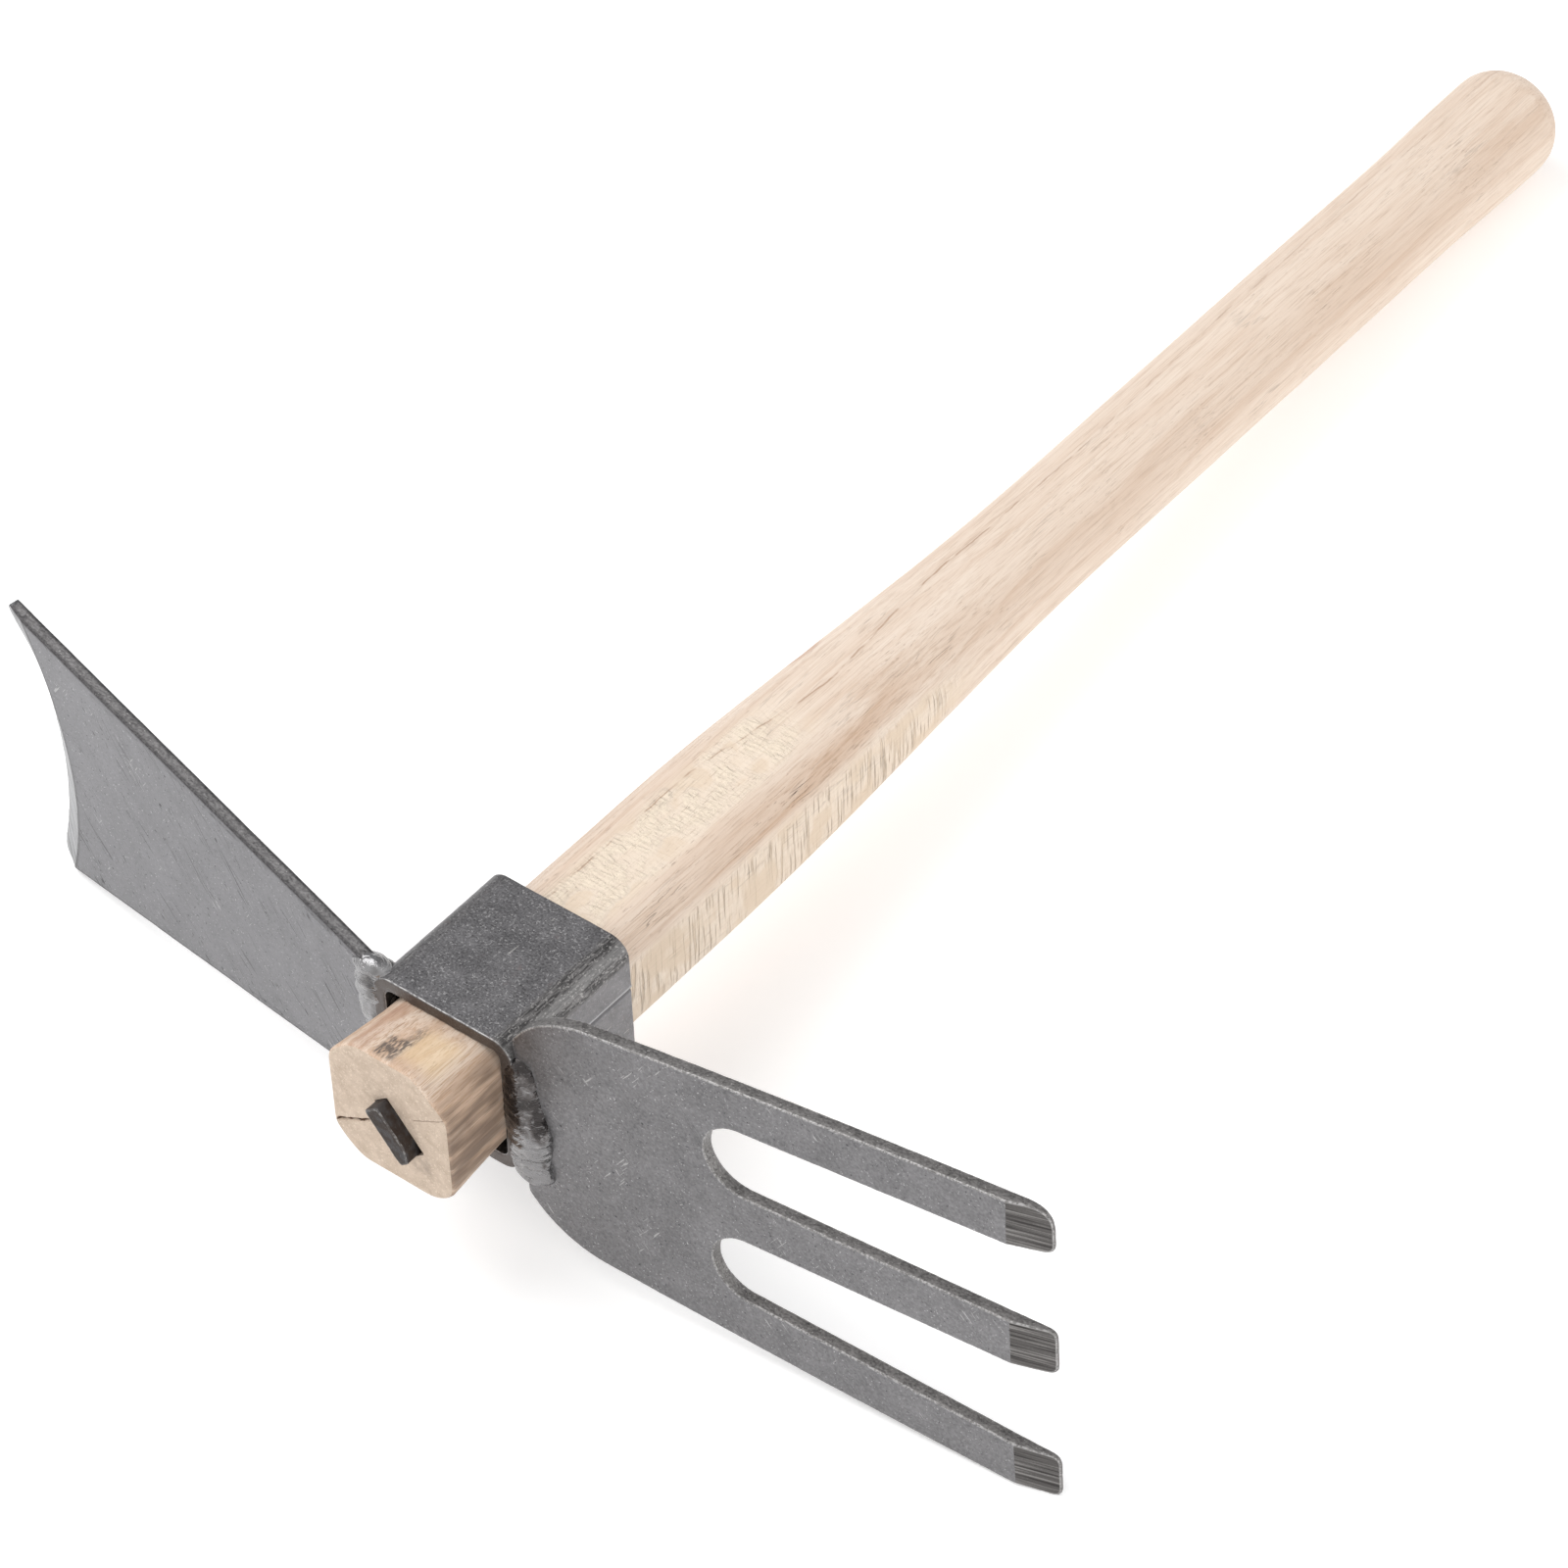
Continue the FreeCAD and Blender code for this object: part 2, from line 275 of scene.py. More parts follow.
def evenly_spaced(outline: Array, step: float) -> Array:
    """Closed outline with its points moved to even steps along its length."""
    ring = closed(outline, axis=0)
    length = np.concatenate([[0.0], np.cumsum(np.linalg.norm(np.diff(ring, axis=0), axis=1))])
    wanted = np.linspace(0.0, length[-1], int(length[-1] / step), endpoint=False)
    return np.stack([np.interp(wanted, length, ring[:, k]) for k in (0, 1)], axis=-1)


def ring_normals(outline: Array) -> Array:
    """Unit vectors that point out of a closed outline, at right angles to the line between neighbours."""
    along = np.roll(outline, -1, axis=0) - np.roll(outline, 1, axis=0)
    across = np.stack([along[:, 1], -along[:, 0]], axis=-1)
    across /= np.linalg.norm(across, axis=1, keepdims=True)
    ahead = np.roll(outline, -1, axis=0)
    area = np.sum(outline[:, 0] * ahead[:, 1] - ahead[:, 0] * outline[:, 1])
    return across * math.copysign(1.0, area)


# ---------------------------------------------------------------- shading


class Field:
    """A value that varies over a surface: one socket, with operators that add Math nodes."""

    def __init__(self, nodes: "Nodes", socket: bpy.types.NodeSocket) -> None:
        """Keeps the tree under construction and one of its output sockets."""
        self.nodes = nodes
        self.socket = socket

    def _math(self, operation: str, *values: Number) -> "Field":
        """A Math node on the given values."""
        return self.nodes.add("ShaderNodeMath", {"operation": operation}, dict(enumerate(values)))

    def __add__(self, other: Number) -> "Field":
        """Sum."""
        return self._math("ADD", self, other)

    __radd__ = __add__

    def __sub__(self, other: Number) -> "Field":
        """Difference."""
        return self._math("SUBTRACT", self, other)

    def __rsub__(self, other: Number) -> "Field":
        """Difference, from a number."""
        return self._math("SUBTRACT", other, self)

    def __mul__(self, other: Number) -> "Field":
        """Product."""
        return self._math("MULTIPLY", self, other)

    __rmul__ = __mul__

    def __truediv__(self, other: Number) -> "Field":
        """Quotient."""
        return self._math("DIVIDE", self, other)

    def __pow__(self, other: Number) -> "Field":
        """Power."""
        return self._math("POWER", self, other)

    def __abs__(self) -> "Field":
        """Size without sign."""
        return self._math("ABSOLUTE", self)

    def most(self, other: Number) -> "Field":
        """The larger of the two."""
        return self._math("MAXIMUM", self, other)

    def least(self, other: Number) -> "Field":
        """The smaller of the two."""
        return self._math("MINIMUM", self, other)

    def fraction(self) -> "Field":
        """What is left past the whole number below."""
        return self._math("FRACT", self)

    def held(self) -> "Field":
        """Held between 0 and 1."""
        return self.least(1.0).most(0.0)

    def rise(self, low: float, high: float) -> "Field":
        """Eased step from 0 at low to 1 at high."""
        settings = {"interpolation_type": "SMOOTHSTEP"}
        inputs = {"Value": self, "From Min": low, "From Max": high}
        return self.nodes.add("ShaderNodeMapRange", settings, inputs)

    def near(self, centre: Number, half_width: float, soft: float) -> "Field":
        """1 within half_width of the centre, easing to 0 over the soft distance."""
        return 1.0 - abs(self - centre).rise(half_width, half_width + soft)


class Nodes:
    """One node tree under construction, a material's or the world's."""

    def __init__(self, tree: bpy.types.NodeTree) -> None:
        """Takes the tree and empties it."""
        self.tree = tree
        self.tree.nodes.clear()

    def add(
        self,
        kind: str,
        settings: dict[str, Any],
        inputs: dict[Union[str, int], Any],
        output: Union[str, int, None] = 0,
    ) -> Optional[Field]:
        """Adds a node: its settings first, then the values or links of its sockets.

        Args:
            kind: the node's type.
            settings: the node's own properties.
            inputs: a value or a Field for each socket, by name or number.
            output: the output that the result stands for, or None for a node that ends the tree.

        Returns:
            The chosen output, or None.
        """
        node = self.tree.nodes.new(kind)
        for key, value in settings.items():
            setattr(node, key, value)
        for key, value in inputs.items():
            if isinstance(value, Field):
                self.tree.links.new(value.socket, node.inputs[key])
            else:
                node.inputs[key].default_value = value
        return None if output is None else Field(self, node.outputs[output])

    def mix(self, factor: Number, first: Union[Colour, Field], second: Union[Colour, Field]) -> Field:
        """Colour between the first, at 0, and the second, at 1."""
        colours = [c if isinstance(c, Field) else (*c, 1.0) for c in (first, second)]
        inputs = {0: factor, 6: colours[0], 7: colours[1]}
        return self.add("ShaderNodeMix", {"data_type": "RGBA"}, inputs, 2)


class Shade(Nodes):
    """Builds one material's nodes. Lengths given to its methods are in millimetres."""

    def __init__(self, name: str) -> None:
        """Starts an empty material of the given name."""
        self.material = bpy.data.materials.new(name)
        self.material.use_nodes = True
        super().__init__(self.material.node_tree)
        self.place = self.add("ShaderNodeTexCoord", {}, {}, "Object")

    def axes(self) -> tuple[Field, Field, Field]:
        """The three coordinates, in millimetres."""
        inputs = {"Vector": self.place}
        split = [self.add("ShaderNodeSeparateXYZ", {}, inputs, axis) for axis in "XYZ"]
        return tuple(part * (1.0 / MM) for part in split)

    def spread(self, size: float, stretch: Sequence[float], seed: int, tilt: float = 0.0) -> Field:
        """Coordinates turned about Y, divided by a feature's size, and moved aside for each seed."""
        scale = tuple(1.0 / (size * MM * part) for part in stretch)
        aside = (seed * 17.13, seed * 31.71, seed * 5.37)
        place = self.place
        if tilt:
            inputs = {"Vector": place, "Angle": math.radians(tilt)}
            place = self.add("ShaderNodeVectorRotate", {"rotation_type": "Y_AXIS"}, inputs)
        inputs = {0: place, 1: scale, 2: aside}
        return self.add("ShaderNodeVectorMath", {"operation": "MULTIPLY_ADD"}, inputs)

    def noise(
        self,
        size: float,
        stretch: Sequence[float] = (1.0, 1.0, 1.0),
        detail: float = 2.0,
        seed: int = 0,
        twist: float = 0.0,
        tilt: float = 0.0,
    ) -> Field:
        """Cloudy noise around 0.5.

        Args:
            size: size of its features.
            stretch: how much longer they are along each axis.
            detail: number of finer layers.
            seed: number that fixes the pattern.
            twist: how much it folds over itself.
            tilt: degrees that the pattern is turned about Y.

        Returns:
            Values from about 0.2 to 0.8.
        """
        inputs = {
            "Vector": self.spread(size, stretch, seed, tilt),
            "Scale": 1.0,
            "Detail": detail,
            "Roughness": 0.55,
            "Distortion": twist,
        }
        return self.add("ShaderNodeTexNoise", {}, inputs)

    def cells(self, size: float, seed: int) -> Field:
        """Distance to the nearest of scattered points, 0 at each point, in feature sizes."""
        inputs = {"Vector": self.spread(size, (1.0, 1.0, 1.0), seed), "Scale": 1.0}
        return self.add("ShaderNodeTexVoronoi", {}, inputs)

    def hairlines(self, width: float, length: float, seed: int, tilt: float, low: float = 0.74) -> Field:
        """Straight fine scratches: the peaks of a noise drawn out along one direction.

        Args:
            width: their width.
            length: their length.
            seed: number that fixes the pattern.
            tilt: their direction, in degrees about Y from upright.
            low: the noise's value at their edges; higher is sparser.

        Returns:
            1 on the scratches and 0 between them.
        """
        along = length / width
        return self.noise(width, (1.0, along, along), 0.0, seed, tilt=tilt).rise(low, low + 0.05)

    def layered(self, base: Field, *coats: tuple[Number, Union[Colour, Field]]) -> Field:
        """The base colour under coats laid on in turn, each by its share."""
        for share, colour in coats:
            base = self.mix(share, base, colour)
        return base

    def wear_and_painted_light(self) -> Field:
        """The mesh's per-point mask: rubbing on some pieces, where painted light goes on others."""
        return self.add("ShaderNodeAttribute", {"attribute_name": "wear_and_painted_light"}, {}, "Fac")

    def relief(self, height: Field) -> Field:
        """Normal of a surface raised by the height, which is in millimetres."""
        return self.add("ShaderNodeBump", {}, {"Strength": 1.0, "Distance": MM, "Height": height})

    def finish(
        self, colour: Field, roughness: Number, height: Optional[Field] = None, **inputs: Any
    ) -> bpy.types.Material:
        """Closes the material with a Principled shader.

        Args:
            colour: base colour.
            roughness: roughness, held between 0 and 1 where it varies.
            height: relief in millimetres, if there is any.
            **inputs: the shader's other sockets, with _ for a space.

        Returns:
            The material.
        """
        named = {key.replace("_", " "): value for key, value in inputs.items()}
        named["Base Color"] = colour
        named["Roughness"] = roughness.held() if isinstance(roughness, Field) else roughness
        if height is not None:
            named["Normal"] = self.relief(height)
        surface = self.add("ShaderNodeBsdfPrincipled", {}, named)
        self.add("ShaderNodeOutputMaterial", {}, {"Surface": surface}, None)
        return self.material


class SteelPart(Enum):
    """The differently worked surfaces of a steel plate."""

    FACE = 0
    EDGE = 1
    GROUND = 2


@dataclass(frozen=True)
class WoodFinish:
    """Pale, unvarnished wood: long fibres, faint growth rings, saw marks on the bar's flats."""

    cream: Colour = (0.83, 0.705, 0.595)
    tan: Colour = (0.64, 0.465, 0.345)
    brown: Colour = (0.36, 0.235, 0.16)
    umber: Colour = (0.09, 0.06, 0.045)
    straw: Colour = (0.87, 0.75, 0.605)
    end_tan: Colour = (0.605, 0.49, 0.392)
    end_dark: Colour = (0.44, 0.345, 0.265)
    saw_light: Colour = (0.95, 0.84, 0.66)
    saw_shadow: Colour = (0.68, 0.53, 0.38)
    thread: Colour = (0.52, 0.345, 0.225)
    vein: Colour = (0.40, 0.245, 0.16)
    knot: Colour = (0.47, 0.26, 0.17)
    blush: Colour = (0.42, 0.25, 0.18)
    yellow: Colour = (0.80, 0.60, 0.36)
    smudge: Colour = (0.10, 0.085, 0.077)
    stain: Colour = (0.21, 0.148, 0.11)
    end_speck: Colour = (0.84, 0.72, 0.60)
    end_pore: Colour = (0.30, 0.21, 0.14)
    check: Colour = (0.10, 0.045, 0.025)
    end_stain: Colour = (0.22, 0.18, 0.16)
    slot: Colour = (0.06, 0.04, 0.03)
    pith: tuple[float, float] = (-34.0, -52.0)
    ring_width: float = 3.3
    roughness: float = 0.62
    check_slope: float = 0.57
    check_rise: float = 0.53
    nose_end: float = NOSE_END
    socket_front: float = SOCKET_FRONT
    socket_back: float = SOCKET_BACK
    saw_end_top: float = -196.0
    saw_end_side: float = -147.0

    def _growth(self, shade: Shade, x: Field, z: Field) -> Field:
        """Latewood lines: the distance from the pith in ring widths, bent by slow noise."""
        radius = ((x - self.pith[0]) ** 2.0 + (z - self.pith[1]) ** 2.0) ** 0.5
        bend = shade.noise(26.0, (1.0, 7.0, 1.0), 1.0, 3) * 9.0
        ripple = shade.noise(3.0, (1.0, 14.0, 1.0), 2.0, 4) * 1.4
        phase = ((radius + bend + ripple) * (1.0 / self.ring_width)).fraction()
        return phase.rise(0.55, 0.93) * (1.0 - phase.rise(0.95, 1.0))

    def _vein(self, shade: Shade, x: Field, y: Field, z: Field) -> Field:
        """The one dark line that wanders down the top of the handle, broken into dashes."""
        drift = shade.noise(26.0, (0.5, 1.0, 1.0), 2.0, 11) - 0.5
        middle = y.rise(-240.0, -188.0) * 6.4 - y.rise(-185.0, -140.0) * 3.4 - y.rise(-70.0, -25.0) * 1.5
        wiggle = shade.noise(3.0, (1.0, 1.6, 1.0), 2.0, 14) - 0.5
        middle = middle - 5.6 + drift * 2.6 + wiggle * 1.1
        line = x.near(middle, 0.06, 0.24) + 0.22 * x.near(middle - 0.2, 0.3, 1.4)
        dashes = shade.noise(1.9, (1.0, 4.0, 1.0), 2.0, 12).rise(0.42, 0.60)
        return line * (0.15 + 0.85 * dashes) * z.rise(9.0, 12.0)

    def _saw_marks(self, shade: Shade, x: Field, y: Field, z: Field) -> tuple[Field, Field]:
        """Where the saw left crosswise ridges, on the top and on the side: places and heights."""
        patches = shade.noise(9.0, (1.0, 1.2, 1.0), 1.0, 21).rise(0.40, 0.56)
        top = x.near(1.0, 6.0, 4.0) * z.rise(14.5, 16.0)
        top = top * (1.0 - y.rise(self.saw_end_top - 22.0, self.saw_end_top))
        side = z.near(-3.0, 8.0, 5.0) * x.rise(14.8, 16.2)
        side = side * (1.0 - y.rise(self.saw_end_side - 30.0, self.saw_end_side))
        behind = y.rise(self.socket_back - 2.0, self.socket_back)
        ridges = shade.noise(1.15, (2.6, 0.9, 5.0), 3.0, 22, 0.7) * (0.2 + 0.8 * patches)
        cuts = shade.noise(1.5, (12.0, 0.55, 12.0), 2.0, 23).rise(0.54, 0.66) * side
        return (top + side).held() * behind, ridges * (0.95 - 0.55 * side) - cuts * (0.28 * patches + 0.10)

    def _smudge(self, shade: Shade, x: Field, y: Field, z: Field) -> Field:
        """A rubbed grey mark on top of the nose."""
        streaks = shade.noise(0.45, (1.0, 5.0, 1.0), 3.0, 31).rise(0.34, 0.58)
        main = x.near(-2.4, 1.9, 1.4) * y.near(-342.6, 2.8, 1.6)
        tail = x.near(-0.6, 0.6, 1.4) * y.near(-336.8, 2.4, 3.0) * 0.6
        return (main + tail).held() * streaks * z.rise(10.0, 14.0)

    def side(self) -> bpy.types.Material:
        """The long-grain surface of the whole handle.

        Returns:
            The material.
        """
        shade = Shade("pale_wood_long_grain")
        x, y, z = shade.axes()
        streaks = shade.noise(2.6, (1.0, 26.0, 1.0), 3.0, 1).rise(0.36, 0.70)
        fibres = shade.noise(0.42, (1.0, 24.0, 1.0), 3.0, 2)
        growth = self._growth(shade, x, z)
        clouds = shade.noise(16.0, (1.0, 5.0, 1.0), 2.0, 5).rise(0.35, 0.70)
        saw_place, saw_height = self._saw_marks(shade, x, y, z)
        nose = 1.0 - y.rise(self.socket_front - 3.0, self.socket_front + 3.0)
        shank = 1.0 - y.rise(-190.0, -110.0)

        corner = x - z
        arris = corner.near(2.5, 1.5, 5.0) * x.rise(6.0, 10.0)
        arris = arris * (1.0 - y.rise(-195.0, -140.0)) * (0.35 + 0.65 * y.rise(-270.0, -225.0))
        grip_band = corner.near(6.0, 2.0, 9.0) * x.rise(1.0, 7.0) * y.rise(-180.0, -110.0)
        tone = streaks * (0.18 + 0.14 * shank + 0.45 * nose) + growth * (0.18 + 0.12 * shank + 0.25 * nose)
        tone = tone + clouds * 0.20 + arris * 0.50 + grip_band * 0.30
        # darker nose; the extra darkening towards its right side is painted shade from the fork plate and
        # weld
        tone = tone + nose * (0.26 + 0.24 * x.rise(9.0, 15.0))
        colour = shade.mix((tone * (1.0 - saw_place * 0.65)).held(), self.cream, self.tan)
        colour = shade.layered(
            colour,
            (saw_place * 0.5, self.straw),
            ((saw_place * saw_height.rise(0.30, 0.52) * 0.34).held(), self.saw_light),
        )
        low_saw = saw_place * (1.0 - saw_height.rise(0.02, 0.22))
        colour = shade.mix((low_saw * 0.50).held(), colour, self.saw_shadow)

        lines = fibres.rise(0.50, 0.72) * (0.20 + 0.16 * streaks + 0.20 * arris + 0.38 * nose)
        lines = lines * (1.0 - 0.7 * saw_place)
        colour = shade.mix(lines.held(), colour, self.brown)
        threads = shade.noise(0.24, (1.0, 70.0, 1.0), 2.0, 15).rise(0.48, 0.66)
        threads = threads * (0.22 + 0.20 * arris + 0.45 * nose) * (1.0 - 0.6 * saw_place)
        colour = shade.mix((threads * 1.25).held(), colour, self.thread)
        pores = shade.noise(0.26, (1.0, 16.0, 1.0), 1.0, 6).rise(0.66, 0.74)
        pores = pores * shade.noise(9.0, (1.0, 2.5, 1.0), 1.0, 7).rise(0.42, 0.62)
        colour = shade.mix((pores * (0.12 + 0.28 * shank)).held(), colour, self.brown)
        cracks = shade.noise(1.7, (1.0, 16.0, 1.0), 2.0, 8).near(0.5, 0.004, 0.02)
        cracks = cracks * shade.noise(7.0, (1.0, 3.0, 1.0), 1.0, 9).rise(0.58, 0.68)
        cracks = cracks * (0.20 + 0.75 * arris + 0.7 * nose * x.rise(14.0, 16.0))
        vein = self._vein(shade, x, y, z).held()
        colour = shade.layered(
            colour,
            (vein * (0.70 - 0.30 * y.rise(-110.0, -60.0)), self.vein),
            (cracks.held(), self.umber),
        )

        knot = ((x + 12.5) * 0.42) ** 2.0 + ((y + 184.0) * 0.16) ** 2.0
        knot = (1.0 - knot.rise(0.2, 1.3)) * z.rise(4.0, 8.0)
        colour = shade.mix(knot * (0.3 + 0.5 * streaks), colour, self.knot)
        blush = nose * x.near(-9.0, 0.8, 2.6) * z.rise(10.0, 14.0) * (0.35 + 0.65 * streaks)
        colour = shade.mix(blush * 0.8, colour, self.blush)
        yellow = x.near(5.0, 3.0, 4.0) * y.near(-338.0, 3.0, 5.0) * z.rise(12.0, 15.0)
        colour = shade.mix(yellow * 0.5, colour, self.yellow)
        smudge = self._smudge(shade, x, y, z)
        colour = shade.mix(smudge * 0.88, colour, self.smudge)
        stain = nose * x.rise(11.0, 16.5) * shade.noise(3.4, (1.0, 6.0, 1.0), 3.0, 10).rise(0.26, 0.60)
        colour = shade.mix(stain * 0.88, colour, self.stain)

        height = fibres * 0.09 + saw_height * saw_place * 1.1 - pores * 0.08 - vein * 0.05 - cracks * 0.1
        height = height + shade.noise(0.5, (1.0, 2.0, 1.0), 2.0, 13) * 0.03
        roughness = self.roughness + 0.10 * (streaks - 0.5) + 0.12 * saw_place
        return shade.finish(colour, roughness, height, Specular_IOR_Level=0.28)

    def end(self) -> bpy.types.Material:
        """The sawn end of the nose, with a check on each side of the wedge.

        Returns:
            The material.
        """
        shade = Shade("pale_wood_end_grain")
        x, y, z = shade.axes()
        growth = self._growth(shade, x, z)
        mottle = shade.noise(3.4, detail=4.0, seed=41).rise(0.32, 0.68)
        pores = shade.cells(0.62, seed=42)
        specks = shade.noise(0.55, detail=2.0, seed=43)
        colour = shade.mix((growth * 0.14 + mottle * 0.55).held(), self.end_tan, self.end_dark)
        colour = shade.layered(
            colour,
            (specks.rise(0.55, 0.68) * 0.38, self.end_speck),
            ((1.0 - pores.rise(0.10, 0.30)) * 0.35, self.end_pore),
        )

        wander = shade.noise(3.0, detail=3.0, seed=44) - 0.5
        left_check = z - (x * self.check_slope + self.check_rise + wander * 1.6)
        left_check = left_check.near(0.0, 0.05, 0.34) * x.near(-11.8, 4.6, 0.6)
        right_check = z - (x * self.check_slope + self.check_rise + 0.8 + wander * 1.2)
        right_check = right_check.near(0.0, 0.02, 0.20) * x.near(11.6, 4.5, 0.8)
        colour = shade.mix((left_check + 0.5 * right_check).held(), colour, self.check)
        stain = x.near(8.2, 1.0, 2.2) * z.near(-7.8, 1.5, 3.0) * mottle
        colour = shade.mix(stain * 0.5, colour, self.end_stain)
        deep = y.rise(self.nose_end + 0.6, self.nose_end + 2.5)
        colour = shade.mix(deep * 0.85, colour, self.slot)

        height = specks * 0.06 + pores * 0.04 + mottle * 0.03 - left_check * 0.4 - right_check * 0.12
        return shade.finish(colour, 0.74 + specks * 0.12, height, Specular_IOR_Level=0.22)


@dataclass(frozen=True)
class PlateFinish:
    """Cold-rolled steel plate under thin clear lacquer, sheared at its edges and ground at its tips."""

    name: str
    face: Colour
    edge: Colour = (0.215, 0.205, 0.200)
    ground: Colour = (0.092, 0.086, 0.083)
    streak: Colour = (0.27, 0.26, 0.25)
    fleck: Colour = (0.66, 0.65, 0.65)
    hair: Colour = (0.70, 0.69, 0.67)
    mark: Colour = (0.055, 0.052, 0.055)
    edge_fleck: Colour = (0.60, 0.58, 0.56)
    edge_mark: Colour = (0.06, 0.055, 0.055)
    groove: Colour = (0.03, 0.027, 0.026)
    roughness: float = 0.40
    metallic: float = 0.85
    hatch: tuple[float, float, float] = (40.0, 40.0, 1.0)
    hatch_tilt: float = 0.0
    grain: float = 1.0
    scratched: float = 0.14
    # painted line along the arrises: a painted shadow line on the blade, a painted highlight on the fork
    arris: Colour = (0.60, 0.59, 0.585)
    arris_share: float = 0.50
    arris_gaps: float = 0.85
    arris_inner: float = 0.60
    burr: Colour = (0.58, 0.57, 0.56)
    burr_share: float = 0.55

    def _flecks(self, shade: Shade, seed: int) -> tuple[Field, Field]:
        """Bright and dark specks, sparse and sharp."""
        bright = shade.noise(0.55, detail=1.0, seed=seed).rise(0.68, 0.75)
        dark = shade.noise(0.75, detail=1.0, seed=seed + 1).rise(0.68, 0.75)
        return bright, dark

    def _painted_arris_line(self, shade: Shade) -> Field:
        """Painted line along the arrises, broken by gaps: painted shadow on the blade, painted highlight on
        the fork.
        """
        wear_and_painted_light = shade.wear_and_painted_light().rise(self.arris_inner, 1.0)
        torn = shade.noise(0.6, detail=2.0, seed=58).rise(0.46, 0.58)
        return wear_and_painted_light * (1.0 - self.arris_gaps * (1.0 - torn)) * self.arris_share

    def on_face(self) -> bpy.types.Material:
        """The rolled face: soft mottling, specks, pits and a few hair scratches.

        Returns:
            The material.
        """
        shade = Shade(self.name + "_face")
        mottle = shade.noise(8.0, detail=4.0, seed=51) - 0.5
        fine = shade.noise(0.75, detail=3.0, seed=52) - 0.5
        bright, dark = self._flecks(shade, 53)
        blotch = shade.noise(2.6, detail=3.0, seed=59).rise(0.58, 0.70)
        scuffed = shade.noise(9.0, detail=1.0, seed=73).rise(0.60, 0.66)
        light_hair = shade.hairlines(0.36, 4.0, 61, 38.0).most(shade.hairlines(0.36, 5.0, 63, -35.0))
        light_hair = light_hair * scuffed
        dark_hair = shade.hairlines(0.40, 34.0, 65, 33.0, 0.73)
        dark_hair = dark_hair.most(shade.hairlines(0.42, 18.0, 71, 47.0, 0.73))
        dark_hair = dark_hair * shade.noise(14.0, detail=1.0, seed=75).rise(0.44, 0.54)
        nicks = shade.hairlines(0.55, 3.0, 67, 35.0) * shade.noise(10.0, detail=1.0, seed=77).rise(0.50, 0.60)
        pits = 1.0 - shade.cells(7.0, seed=57).rise(0.030, 0.065)

        light = scaled(self.face, 1.45)
        deep = scaled(self.face, 0.60)
        x, _, z = shade.axes()
        paler = (x - z).rise(40.0, 190.0) * 0.16
        colour = shade.mix((0.45 + paler + mottle * 0.85 + fine * 1.5 * self.grain).held(), deep, light)
        colour = shade.layered(
            colour,
            (bright * 0.50, self.fleck),
            (light_hair * 0.36, self.hair),
        )
        marks = dark * 0.62 + dark_hair * self.scratched + nicks * self.scratched * 1.4
        marks = marks + blotch * 0.16 * self.grain + pits * 0.8
        # dark marks and pits, then the painted arris line
        colour = shade.layered(
            colour,
            (marks.held(), self.mark),
            (self._painted_arris_line(shade), self.arris),
        )
        roughness = self.roughness + mottle * 0.22 + fine * 0.16 + dark * 0.15
        height = fine * 0.030 + bright * 0.016 - dark * 0.03 - pits * 0.06 - dark_hair * 0.015 - nicks * 0.03
        height = height + mottle * 0.05 + light_hair * 0.008
        return shade.finish(colour, roughness, height, Metallic=self.metallic)

    def on_edge(self) -> bpy.types.Material:
        """The sheared edge: darker and granular, with its own painted line along the arrises.

        Returns:
            The material.
        """
        shade = Shade(self.name + "_edge")
        grains = shade.noise(0.50, (1.6, 1.0, 1.0), 3.0, 81) - 0.5
        drag = shade.noise(1.6, (2.5, 3.0, 1.0), 3.0, 82) - 0.5
        bright, dark = self._flecks(shade, 83)
        deep = scaled(self.edge, 0.45)
        light = scaled(self.edge, 1.55)
        colour = shade.mix((0.5 + grains * 2.0 + drag * 0.8).held(), deep, light)
        # flecks and marks, then the painted arris line
        colour = shade.layered(
            colour,
            (bright * 0.55, self.edge_fleck),
            (dark * 0.55, self.edge_mark),
            (self._painted_arris_line(shade), self.arris),
        )
        height = grains * 0.07 + drag * 0.05 + bright * 0.03 - dark * 0.04
        roughness = 0.46 + grains * 0.25 + drag * 0.15
        return shade.finish(colour, roughness, height, Metallic=self.metallic)

    def on_ground(self) -> bpy.types.Material:
        """The ground slope: fine parallel wheel marks, some bright.

        Returns:
            The material.
        """
        shade = Shade(self.name + "_ground")
        marks = shade.noise(0.62, self.hatch, 4.0, 91, tilt=self.hatch_tilt)
        broad = shade.noise(1.5, self.hatch, 1.0, 92, tilt=self.hatch_tilt) - 0.5
        speckle = shade.noise(0.35, detail=2.0, seed=93) - 0.5
        bright = marks.rise(0.50, 0.68) * 1.1 + speckle * 0.7
        dark = 1.0 - marks.rise(0.36, 0.48)
        colour = shade.mix((bright * 0.75 + broad * 0.4).held(), self.ground, self.streak)
        colour = shade.mix(dark * 0.85, colour, self.groove)
        wear_and_painted_light = shade.wear_and_painted_light().rise(0.55, 1.0)
        colour = shade.mix(wear_and_painted_light * self.burr_share, colour, self.burr)
        height = marks * 0.09 + broad * 0.05 + speckle * 0.03
        return shade.finish(colour, 0.34 + broad * 0.2, height, Metallic=0.9)

    def all(self) -> list[bpy.types.Material]:
        """The three materials, in the order of SteelPart."""
        return [self.on_face(), self.on_edge(), self.on_ground()]


